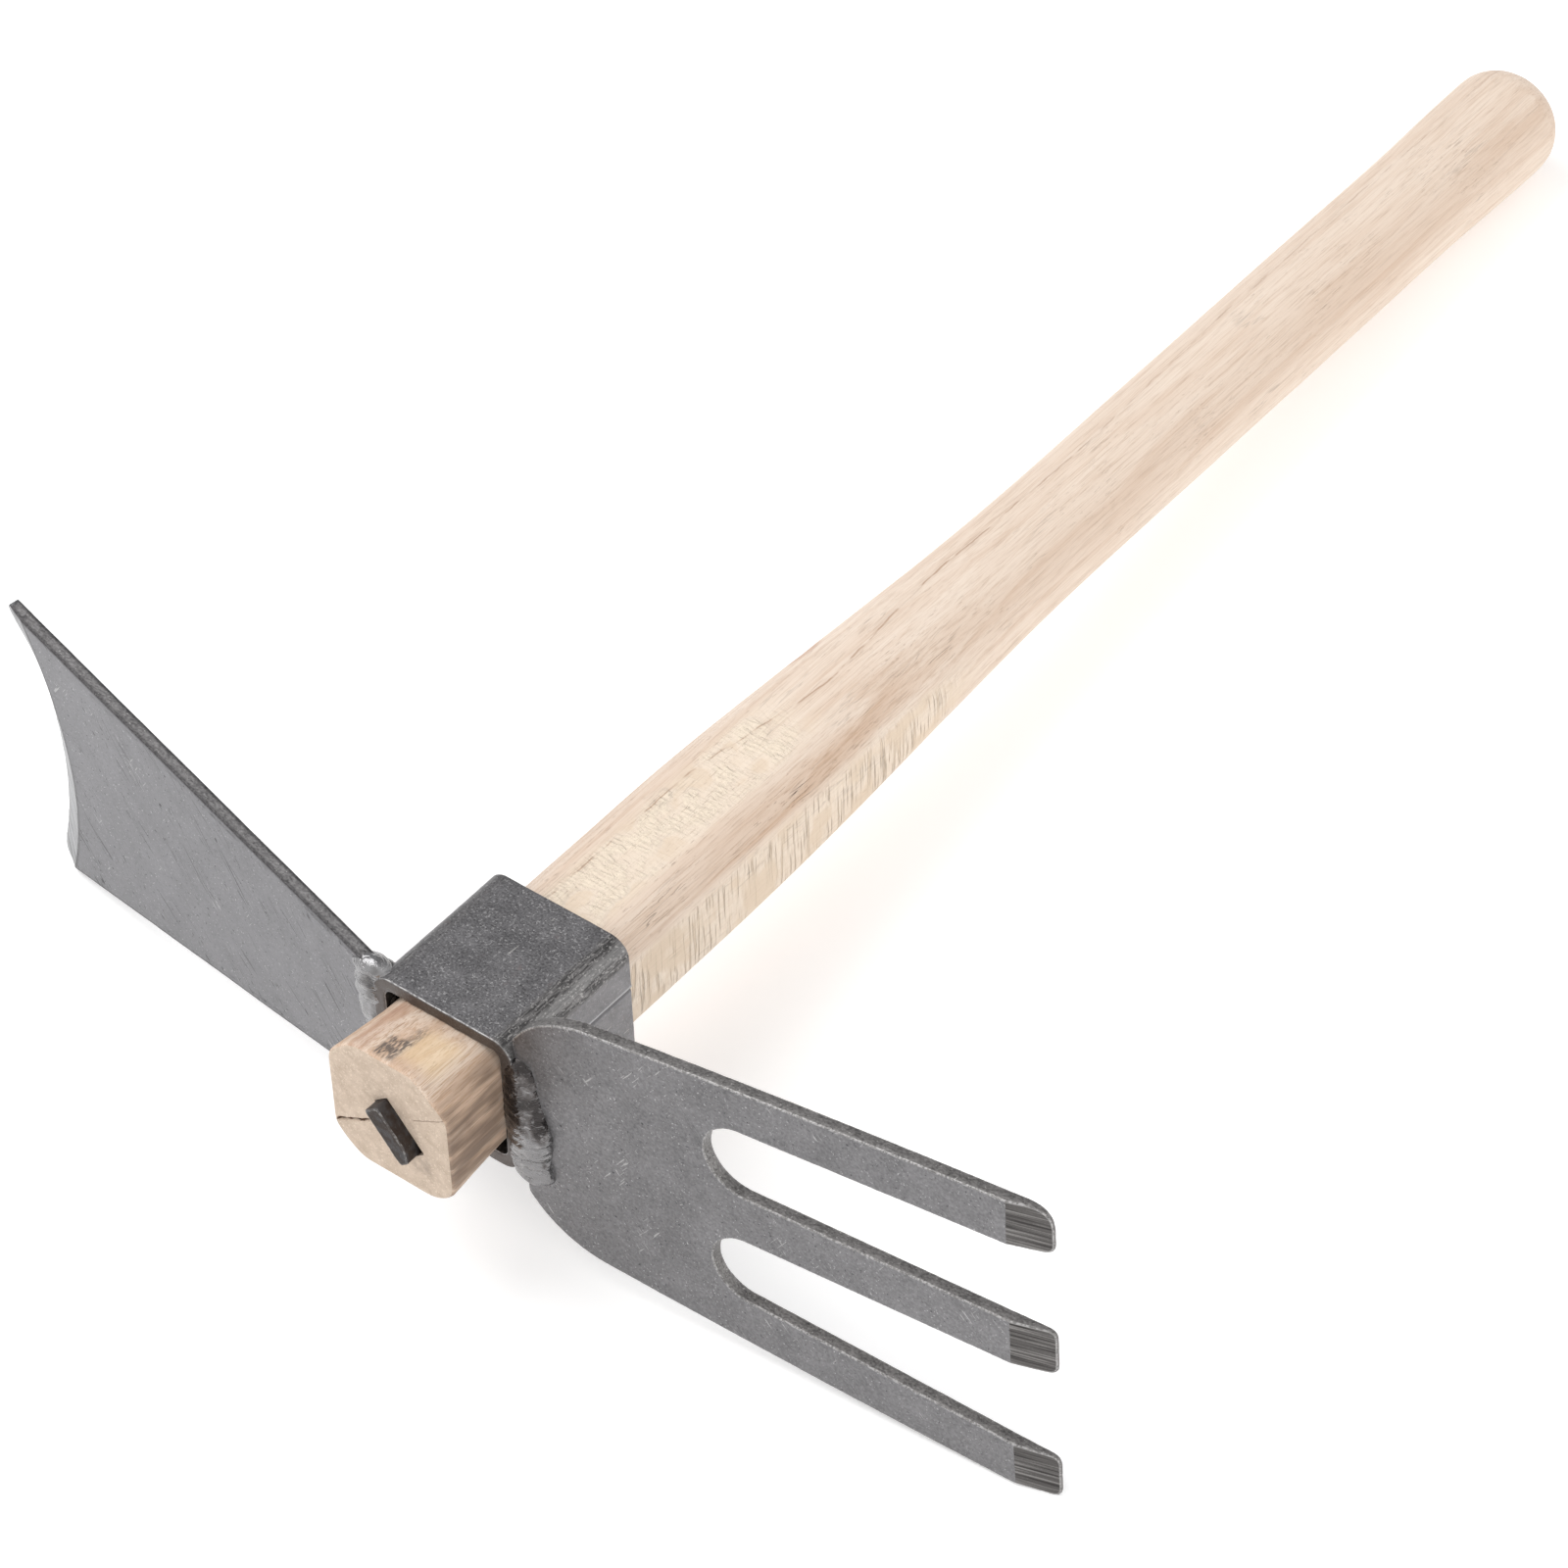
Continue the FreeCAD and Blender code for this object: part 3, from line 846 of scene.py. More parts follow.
# The blade's arris line is dark: a painted shadow line
HOE_FINISH = PlateFinish(
    "hoe_steel", (0.200, 0.197, 0.205), edge=(0.190, 0.184, 0.184), ground=(0.21, 0.21, 0.215),
    streak=(0.50, 0.50, 0.52), hatch=(1.0, 20.0, 20.0), hatch_tilt=35.0, grain=0.60, scratched=0.95,
    arris=(0.040, 0.037, 0.039), arris_share=0.85, arris_gaps=0.25, arris_inner=0.0,
    burr=(0.045, 0.042, 0.044), burr_share=0.9,
)
# The fork keeps the light arris line: a painted highlight
FORK_FINISH = PlateFinish("fork_steel", (0.180, 0.176, 0.180), edge=(0.195, 0.187, 0.182))


@dataclass(frozen=True)
class TubeFinish:
    """Mill-scaled square tube: charcoal flats, painted streaky reflections on the corners, faint scratches.
    """

    flat: Colour = (0.172, 0.168, 0.172)
    # painted light: the +X side is painted this much lighter than the top
    painted_side_light_gain: float = 1.32
    # base tone of the painted reflection bands on the rounded corners
    corner: Colour = (0.135, 0.130, 0.128)
    bore: Colour = (0.018, 0.017, 0.016)
    fleck: Colour = (0.56, 0.55, 0.55)
    mark: Colour = (0.05, 0.046, 0.046)
    rust: Colour = (0.20, 0.10, 0.085)
    hair: Colour = (0.72, 0.70, 0.66)
    # painted highlight and painted sparkle on the corners
    corner_painted_highlight: Colour = (0.34, 0.335, 0.33)
    painted_sparkle: Colour = (0.62, 0.60, 0.58)
    # painted highlight on the seam's ridge and painted shade in its groove
    seam_ridge_highlight: Colour = (0.60, 0.60, 0.61)
    seam_groove_shade: Colour = (0.085, 0.082, 0.085)
    # painted highlight along the front rim
    rim: Colour = (0.50, 0.49, 0.48)
    # the cut end: rust-brown, with painted shade
    cut_end_rust_and_shade: Colour = (0.105, 0.088, 0.078)
    roughness: float = 0.43
    seam: float = 5.95
    front: float = SOCKET_FRONT

    def outside(self) -> bpy.types.Material:
        """The tube's outer skin and cut ends.

        Returns:
            The material.
        """
        shade = Shade("socket_tube_skin")
        x, y, z = shade.axes()
        mottle = shade.noise(7.0, detail=4.0, seed=101) - 0.5
        fine = shade.noise(0.55, detail=3.0, seed=102) - 0.5
        bright = shade.noise(0.60, detail=1.0, seed=103).rise(0.61, 0.70)
        dark = shade.noise(0.70, detail=1.0, seed=104).rise(0.63, 0.72)
        # how strongly each corner takes the painted reflection bands
        corner = shade.wear_and_painted_light()
        drawn = shade.noise(0.50, (1.0, 9.0, 1.0), 3.0, 105)
        painted_sparkle = shade.noise(0.45, (1.0, 1.8, 1.0), 2.0, 106).rise(0.56, 0.66)
        hair = shade.hairlines(0.38, 5.0, 107, 60.0, 0.80)
        rust = shade.noise(5.0, detail=3.0, seed=110).rise(0.64, 0.74)

        light = scaled(self.flat, 1.6)
        deep = scaled(self.flat, 0.48)
        # The +X side is a painted lighter copy of the top's colour: painted light, not another steel
        on_side = x.rise(19.3, 19.7)
        calm = 1.0 - 0.6 * on_side
        side_light, side_deep = (scaled(tone, self.painted_side_light_gain) for tone in (light, deep))
        grain = (0.5 + mottle * 0.8 + fine * 1.7 * calm).held()
        colour = shade.mix(on_side, shade.mix(grain, deep, light), shade.mix(grain, side_deep, side_light))
        colour = shade.layered(
            colour,
            (bright * calm * 0.46, self.fleck),
            (dark * calm * 0.55, self.mark),
            (rust * 0.20, self.rust),
            (hair * 0.45, self.hair),
        )
        # Painted reflection bands on the rounded corners: painted shadow and glint streaks, a painted
        # highlight along the corner by the fork, painted sparkle
        shadow, glint = (scaled(self.corner, gain) for gain in (0.50, 1.7))
        painted_corner_reflection = shade.mix(drawn.rise(0.38, 0.64), shadow, glint)
        middle = (x.near(18.6, 0.5, 0.7) * z.near(18.4, 0.6, 0.8)).held()
        painted_corner_reflection = shade.mix(middle * 0.45, painted_corner_reflection, self.corner_painted_highlight)
        painted_corner_reflection = shade.mix(painted_sparkle * 0.50, painted_corner_reflection, self.painted_sparkle)
        colour = shade.mix((corner * 0.92).held(), colour, painted_corner_reflection)

        # Painted highlight on the seam's ridge and painted shade in its groove
        ridge = z.near(self.seam + 0.55, 0.12, 0.35) * on_side
        painted_flute_shade = z.near(self.seam - 0.45, 0.40, 0.45) * on_side
        colour = shade.layered(
            colour,
            (ridge * 0.55, self.seam_ridge_highlight),
            (painted_flute_shade * 0.55, self.seam_groove_shade),
        )
        # Painted highlight along the front rim, then the cut end: rust with painted shade
        rim_break = shade.noise(0.9, (1.0, 1.0, 1.0), 2.0, 112).rise(0.40, 0.56)
        rim = y.near(self.front + 0.26, 0.06, 0.14) * rim_break
        colour = shade.mix(rim * 0.55, colour, self.rim)
        cut_end = 1.0 - y.rise(self.front + 0.04, self.front + 0.20)
        colour = shade.mix(cut_end * 0.8, colour, self.cut_end_rust_and_shade)

        height = fine * 0.035 + bright * 0.025 - dark * 0.03 + mottle * 0.03 + corner * drawn * 0.10
        roughness = self.roughness + mottle * 0.16 + fine * 0.16 + corner * 0.06
        return shade.finish(colour, roughness, height, Metallic=0.88)

    def inside(self) -> bpy.types.Material:
        """The bore: black scale.

        Returns:
            The material.
        """
        shade = Shade("socket_tube_bore")
        scale = shade.noise(0.9, detail=3.0, seed=111)
        colour = shade.mix(scale.rise(0.40, 0.65), self.bore, scaled(self.bore, 3.0))
        return shade.finish(colour, 0.6 + scale * 0.2, scale * 0.05, Metallic=0.4)


@dataclass(frozen=True)
class WeldFinish:
    """Bare weld metal: glassy ripples with painted highlights, brown heat tint, soot and painted shade in the
    pits and hollows, and a painted dark reflection on the upper part.
    """

    name: str = "weld_metal"
    metal: Colour = (0.235, 0.230, 0.232)
    # heat tint, also laid as a painted dark reflection on the bead's upper part
    heat_tint_and_painted_dark: Colour = (0.060, 0.050, 0.046)
    # soot colour, also laid as painted shade in the pits and hollows and as a painted dark reflection
    soot_and_painted_shade: Colour = (0.022, 0.020, 0.020)
    # share of the painted highlights on the ripples and in fine glints
    painted_sparkle: float = 0.34
    # strength of the painted dark reflection towards the bead's top
    painted_dark_top: float = 1.0
    # painted highlight colours: on the ripples' crests and in fine glints
    ripple: Colour = (0.60, 0.59, 0.59)
    glint: Colour = (0.66, 0.65, 0.64)

    def make(self) -> bpy.types.Material:
        """The weld's one material.

        Returns:
            The material.
        """
        shade = Shade(self.name)
        wear_and_painted_light = shade.wear_and_painted_light()
        _, _, z = shade.axes()
        # heat tint in random patches, with a painted dark reflection rising towards the top
        tint_and_painted_dark_mask = shade.noise(5.0, (0.8, 1.0, 1.4), 2.0, 121)
        tint_and_painted_dark_mask = tint_and_painted_dark_mask + (z.rise(-12.0, 5.0) - 0.45) * 0.34 * self.painted_dark_top
        pits = shade.cells(1.9, seed=122)
        ripples = shade.noise(1.5, (1.7, 1.7, 0.9), 2.0, 123, 1.2)
        fine = shade.noise(0.45, detail=2.0, seed=124)
        colour = shade.mix(tint_and_painted_dark_mask.rise(0.42, 0.60) * 0.80, self.metal, self.heat_tint_and_painted_dark)
        # painted dark reflection where the tint is strongest, painted highlights on ripples and glints,
        # painted shade in the pits and hollows
        colour = shade.layered(
            colour,
            (tint_and_painted_dark_mask.rise(0.58, 0.68) * 0.6, self.soot_and_painted_shade),
            (ripples.rise(0.56, 0.70) * self.painted_sparkle * 0.7, self.ripple),
            (fine.rise(0.64, 0.76) * self.painted_sparkle, self.glint),
            ((1.0 - pits.rise(0.05, 0.14)) * 0.75, self.soot_and_painted_shade),
            ((wear_and_painted_light * 0.9).held(), self.soot_and_painted_shade),
        )
        roughness = 0.13 + ripples * 0.12 + wear_and_painted_light * 0.2
        height = ripples * 0.34 + fine * 0.03 + pits.rise(0.04, 0.24) * 0.05
        return shade.finish(colour, roughness, height, Metallic=0.92)


@dataclass(frozen=True)
class WedgeFinish:
    """Forged wedge: black-brown scale, with bright steel where its edges were struck."""

    scale: Colour = (0.066, 0.061, 0.062)
    brown: Colour = (0.042, 0.030, 0.024)
    bright: Colour = (0.46, 0.45, 0.44)
    speck: Colour = (0.22, 0.21, 0.21)

    def make(self) -> bpy.types.Material:
        """The wedge's one material.

        Returns:
            The material.
        """
        shade = Shade("wedge_black_steel")
        patches = shade.noise(2.6, detail=3.0, seed=131).rise(0.38, 0.62)
        fine = shade.noise(0.35, detail=3.0, seed=132)
        specks = shade.noise(0.5, detail=1.0, seed=133).rise(0.68, 0.76)
        broken = shade.noise(1.2, detail=2.0, seed=134).rise(0.50, 0.64)
        wear_and_painted_light = shade.wear_and_painted_light().rise(0.6, 1.0) * (0.25 + 0.75 * broken)
        colour = shade.mix(patches, self.scale, self.brown)
        colour = shade.layered(
            colour,
            (specks * 0.5, self.speck),
            (wear_and_painted_light * 0.42, self.bright),
        )
        height = fine * 0.09 + patches * 0.05
        roughness = 0.50 + fine * 0.18 - wear_and_painted_light * 0.15
        return shade.finish(colour, roughness, height, Metallic=0.6)


# ---------------------------------------------------------------- the pieces


def hand_over(piece: bpy.types.Object, node: str) -> bpy.types.Object:
    """Lets a piece stand for a CAD node and ride with it.

    Args:
        piece: the new piece.
        node: the CAD node that it replaces.

    Returns:
        The piece.
    """
    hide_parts(node)
    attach(piece, BODY)
    LOG.info("%s: %d faces, stands for %s", piece.name, len(piece.data.polygons), node)
    return piece


def axis_turn(yaw: float, pitch: float, roll: float) -> Array:
    """Rotation by roll about X, then pitch about Y, then yaw about Z, in degrees."""
    turn = (
        Matrix.Rotation(math.radians(yaw), 3, "Z")
        @ Matrix.Rotation(math.radians(pitch), 3, "Y")
        @ Matrix.Rotation(math.radians(roll), 3, "X")
    )
    return np.array(turn)


@dataclass
class Wedge:
    """Flat steel wedge, set askew in the handle's end grain."""

    width: float = 15.2 * MM
    thickness: float = 5.2 * MM
    tip_thickness: float = 1.4 * MM
    proud: float = 3.7 * MM
    depth: float = 26.0 * MM
    centre: tuple[float, float] = mm(2.4, 0.2)
    turn: float = -51.0
    corner: float = 0.7 * MM
    edge_round: float = 0.45 * MM
    chip: float = 0.10 * MM
    clip: float = 3.0 * MM
    columns: int = 112

    def thickness_at(self, below_face: Array) -> Array:
        """Thickness at a depth below the handle's end face: straight taper from end to tip."""
        share = (below_face + self.proud) / (self.depth + self.proud)
        return self.thickness + (self.tip_thickness - self.thickness) * np.clip(share, 0.0, 1.0)

    def across(self, along: Array, aside: Array) -> tuple[Array, Array]:
        """The x and z of points given along the wedge's width and thickness."""
        angle = math.radians(self.turn)
        x = self.centre[0] + along * math.cos(angle) - aside * math.sin(angle)
        z = self.centre[1] + along * math.sin(angle) + aside * math.cos(angle)
        return x, z

    def ring(self, half_width: Array, half_thickness: Array, corner: float) -> tuple[Array, Array]:
        """Rounded rectangle: the box shrunk by the corner, then pushed out by it.

        Args:
            half_width: half the width, one for each ring.
            half_thickness: half the thickness, one for each ring.
            corner: radius of the corners.

        Returns:
            Two arrays, along and aside, of shape (rings, columns).
        """
        angle = np.linspace(0.0, 2.0 * math.pi, self.columns, endpoint=False)
        share = half_width[:, None] / half_thickness[:, None]
        cosine, sine = np.cos(angle), np.sin(angle)
        to_side = np.abs(cosine) / half_width[:, None]
        to_flat = np.abs(sine) * share / half_width[:, None]
        reach = 1.0 / np.maximum(to_side, to_flat)
        along = np.clip(reach * cosine, -half_width[:, None] + corner, half_width[:, None] - corner)
        aside = np.clip(reach * sine, -half_thickness[:, None] + corner, half_thickness[:, None] - corner)
        out = np.stack([reach * cosine - along, reach * sine - aside], axis=-1)
        length = np.maximum(np.linalg.norm(out, axis=-1, keepdims=True), 1e-9)
        out = out / length * corner
        return along + out[..., 0], aside + out[..., 1]

    def build(self, face_y: float) -> bpy.types.Object:
        """Stacks rounded rectangles from the struck end to the tip, with chipped edges.

        Args:
            face_y: where the handle's end face lies.

        Returns:
            The piece.
        """
        start = face_y - self.proud
        swing = np.linspace(0.0, 0.5 * math.pi, 5)
        rounding = start + self.edge_round * (1.0 - np.sin(swing[::-1]))
        inset = self.edge_round * (1.0 - np.cos(swing[::-1]))
        shaft = np.linspace(start + self.edge_round, face_y + self.depth, 28)[1:]
        y = np.concatenate([rounding, shaft])
        inset = np.concatenate([inset, np.zeros(len(shaft))])
        half_thickness = self.thickness_at(y - face_y) / 2.0 - inset
        half_width = np.full(len(y), self.width / 2.0) - inset
        along, aside = self.ring(half_width, half_thickness, self.corner)
        clipped = self.clip * smoothstep(0.22 * self.width, 0.5 * self.width, along)
        aside = aside - clipped * smoothstep(0.0, self.thickness, aside + self.thickness / 2.0) * 0.7
        x, z = self.across(along, aside)
        points = np.stack([x, np.broadcast_to(y[:, None], x.shape), z], axis=-1)
        rough = Grain(5).at(points, (1.6 * MM,) * 3) + 0.5 * Grain(6).at(points, (0.7 * MM,) * 3)
        points[..., 1] += rough * self.chip * 0.6 * (y < start + 2.0 * MM)[:, None]
        points[..., 0] += rough * self.chip * 0.7
        worn_and_painted_light = (np.arange(len(y)) < len(swing) - 1)[:, None] * np.ones(self.columns)
        middle = points[0].mean(axis=0)
        cap = np.stack([points[0] + (middle - points[0]) * share for share in (0.0, 0.10, 0.30, 0.60)])
        cap[1:, :, 1] += Grain(9).at(cap[1:], (2.2 * MM,) * 3) * 0.12 * MM
        cap_worn = np.zeros(cap.shape[:2])
        cap_worn[0] = 1.0
        cloth = Patchwork()
        cloth.grid(closed(points), 0, closed(worn_and_painted_light))
        cloth.grid(closed(cap), 0, closed(cap_worn))
        cloth.polygon(cap[-1])
        cloth.polygon(points[-1])
        return hand_over(cloth.sew("struck_wedge", [WedgeFinish().make()]), "wedge")


@dataclass
class Handle:
    """Square bar turned round towards the butt, its swollen nose standing out of the socket."""

    bar_half: float = 16.5 * MM
    nose_half_width: float = 17.3 * MM
    nose_half_height: float = 18.4 * MM
    nose_rise: float = 0.5 * MM
    nose_corner: float = 20.4 * MM
    nose_edge: float = 1.2 * MM
    sharp_corner: float = 1.7 * MM
    worn_corner: float = 1.7 * MM
    nose_shift: float = -0.6 * MM
    shank_radius: float = 19.5 * MM
    grip_radius: float = 14.5 * MM
    taper_length: float = 151.0 * MM
    grip_start: float = -98.0 * MM
    butt_radius: float = 15.05 * MM
    butt_swell_length: float = 45.0 * MM
    dome_length: float = 13.0 * MM
    dome_power: float = 2.5
    butt_trim: float = 5.0 * MM
    arris_sharpness: float = 60.0
    slot_clearance: float = 0.13 * MM
    crack_depth: float = 0.9 * MM
    nose_step: float = 0.55 * MM
    socket_step: float = 3.4 * MM
    taper_step: float = 0.9 * MM
    grip_step: float = 1.9 * MM
    columns: int = 192

    def __post_init__(self) -> None:
        """Takes the ends from the CAD handle and the socket's place from the CAD socket."""
        low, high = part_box("handle")
        self.nose_end = low.y
        self.butt_end = high.y - self.butt_trim
        socket_low, socket_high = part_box("socket")
        self.socket_front = socket_low.y
        self.socket_back = socket_high.y

    def radius(self, y: Array) -> Array:
        """Turned radius: shank, eased taper, grip, slight swell, then a superellipse dome."""
        taper = smoothstep(self.grip_start - self.taper_length, self.grip_start, y)
        turned = self.shank_radius + (self.grip_radius - self.shank_radius) * taper
        nose = np.clip((self.socket_front - y) / (self.socket_front - self.nose_end), 0.0, 1.0)
        turned = turned + (self.nose_corner - self.shank_radius) * nose
        dome_start = self.butt_end - self.dome_length
        swell = smoothstep(dome_start - self.butt_swell_length, dome_start, y)
        turned = turned + (self.butt_radius - self.grip_radius) * swell
        share = np.clip((y - dome_start) / self.dome_length, 0.0, 1.0)
        return turned * (1.0 - share ** self.dome_power) ** (1.0 / self.dome_power)

    def rings(self, y: Array) -> Array:
        """Outline of the wood at each y: the softest least of the turned circle and the four flats.

        The soft least of a, b and c is (a^-p + b^-p + c^-p)^(-1/p) with a large p, which
        rounds the arrises a little.

        Args:
            y: places along the handle.

        Returns:
            Points of shape (places, columns, 3).
        """
        angle = np.linspace(0.0, 2.0 * math.pi, self.columns, endpoint=False)
        nose = np.clip((self.socket_front - y) / (self.socket_front - self.nose_end), 0.0, 1.0)
        half_width = self.bar_half + (self.nose_half_width - self.bar_half) * nose
        half_height = self.bar_half + (self.nose_half_height - self.bar_half) * nose
        power = self.arris_sharpness
        turned = np.maximum(self.radius(y), 1e-6)
        sides = np.abs(np.cos(angle))[None, :] / half_width[:, None]
        tops = np.abs(np.sin(angle))[None, :] / half_height[:, None]
        corners = bump_at(angle, 1.75 * math.pi, 0.35) * self.sharp_corner
        corners = corners - bump_at(angle, 0.26 * math.pi, 0.42) * self.worn_corner
        turned = turned[:, None] + corners * nose[:, None]
        reach = ((1.0 / turned) ** power + sides ** power + tops ** power) ** (-1.0 / power)
        x = reach * np.cos(angle) + (self.nose_shift * nose)[:, None]
        z = reach * np.sin(angle) + (self.nose_rise * nose)[:, None]
        return np.stack([x, np.broadcast_to(y[:, None], x.shape), z], axis=-1)

    def weathered(self, points: Array) -> Array:
        """Hand-worked unevenness: slow waves, small tool facets, and a dent beside the knot."""
        y = points[..., 1]
        outward = points * np.array([1.0, 0.0, 1.0])
        distance = np.maximum(np.linalg.norm(outward, axis=-1, keepdims=True), 1e-6)
        slow = Grain(1).at(points, mm(14, 46, 14)) * 0.16 * MM
        facets = Grain(2).at(points, mm(5, 13, 5)) * 0.05 * MM
        fibre = Grain(3).at(points, mm(0.9, 14, 0.9)) * 0.020 * MM
        dent = bump_at(y, -183.0 * MM, 3.2 * MM) * bump_at(points[..., 0], -15.6 * MM, 1.6 * MM)
        dent = dent * smoothstep(4.0 * MM, 7.0 * MM, points[..., 2])
        outside = 1.0 - smoothstep(self.socket_front - 2 * MM, self.socket_front, y)
        outside = outside + smoothstep(self.socket_back, self.socket_back + 3 * MM, y)
        shift = (slow + facets + fibre - dent * 0.9 * MM) * outside
        return points + outward / distance * shift[..., None]

    def end_face(self, wedge: Wedge) -> tuple[Array, Array]:
        """The end face, as rings that pass from its rounded rim to the wedge's slot, and the slot's walls.

        Args:
            wedge: the wedge that the slot is for.

        Returns:
            The face's points and the slot's points, each of shape (rings, columns, 3).
        """
        swing = np.linspace(0.0, 0.5 * math.pi, 7)
        rim = self.rings(np.full(len(swing), self.nose_end + self.nose_edge))
        centre = np.array([0.0, 0.0, self.nose_rise])
        outward = (rim - centre) * np.array([1.0, 0.0, 1.0])
        outward /= np.linalg.norm(outward, axis=-1, keepdims=True)
        rim = rim - outward * (self.nose_edge * (1.0 - np.cos(swing)))[:, None, None]
        rim[..., 1] = (self.nose_end + self.nose_edge * (1.0 - np.sin(swing)))[:, None]

        depth = np.linspace(0.0, wedge.depth, 9)
        half_thickness = wedge.thickness_at(depth) / 2.0 + self.slot_clearance
        angle = np.linspace(0.0, 2.0 * math.pi, self.columns, endpoint=False) - math.radians(wedge.turn)
        half_width = wedge.width / 2.0 + self.slot_clearance
        to_side = np.abs(np.cos(angle)) / half_width
        limit = np.maximum(to_side, np.abs(np.sin(angle)) / half_thickness[:, None])
        x, z = wedge.across(np.cos(angle) / limit, np.sin(angle) / limit)
        slot = np.stack([x, np.broadcast_to((self.nose_end + depth)[:, None], x.shape), z], axis=-1)

        share = np.linspace(0.0, 1.0, 40)[:, None, None]
        face = rim[-1] * (1.0 - share) + slot[0] * share
        fuzz = Grain(7).at(face, (0.9 * MM,) * 3) * 0.07 + Grain(8).at(face, (3.0 * MM,) * 3) * 0.10
        line = face[..., 2] - (face[..., 0] * WoodFinish.check_slope + WoodFinish.check_rise * MM)
        crack = bump_at(line, 0.0, 0.32 * MM) * (face[..., 0] < -6.8 * MM)
        edges = np.minimum(share, 1.0 - share)[..., 0]
        inside = smoothstep(0.0, 0.06, edges)
        face[..., 1] += fuzz * MM * inside + crack * self.crack_depth * smoothstep(0.0, 0.03, edges)
        return np.concatenate([rim[:-1], face]), slot

    def build(self, wedge: Wedge) -> bpy.types.Object:
        """Carries the outline along the handle and closes it at both ends.

        Args:
            wedge: the wedge in the nose.

        Returns:
            The piece.
        """
        dome_start = self.butt_end - self.dome_length
        swing = np.linspace(0.0, 0.5 * math.pi, 26)[1:]
        y = np.concatenate([
            np.arange(self.nose_end + self.nose_edge, self.socket_front, self.nose_step),
            np.arange(self.socket_front, self.socket_back, self.socket_step),
            np.arange(self.socket_back, self.grip_start, self.taper_step),
            np.arange(self.grip_start, dome_start, self.grip_step),
            dome_start + self.dome_length * np.sin(swing) ** (2.0 / self.dome_power),
        ])
        side = self.weathered(self.rings(y))
        face, slot = self.end_face(wedge)
        face[0] = side[0]
        cloth = Patchwork()
        cloth.grid(closed(side), 0)
        material = (np.arange(len(face) - 1) >= 3).astype(int)[:, None]
        cloth.grid(closed(face), material * np.ones((1, self.columns), int))
        cloth.grid(closed(slot), 1)
        cloth.polygon(slot[-1], 1)
        finish = WoodFinish()
        piece = cloth.sew("turned_handle", [finish.side(), finish.end()], 50.0)
        return hand_over(piece, "handle")


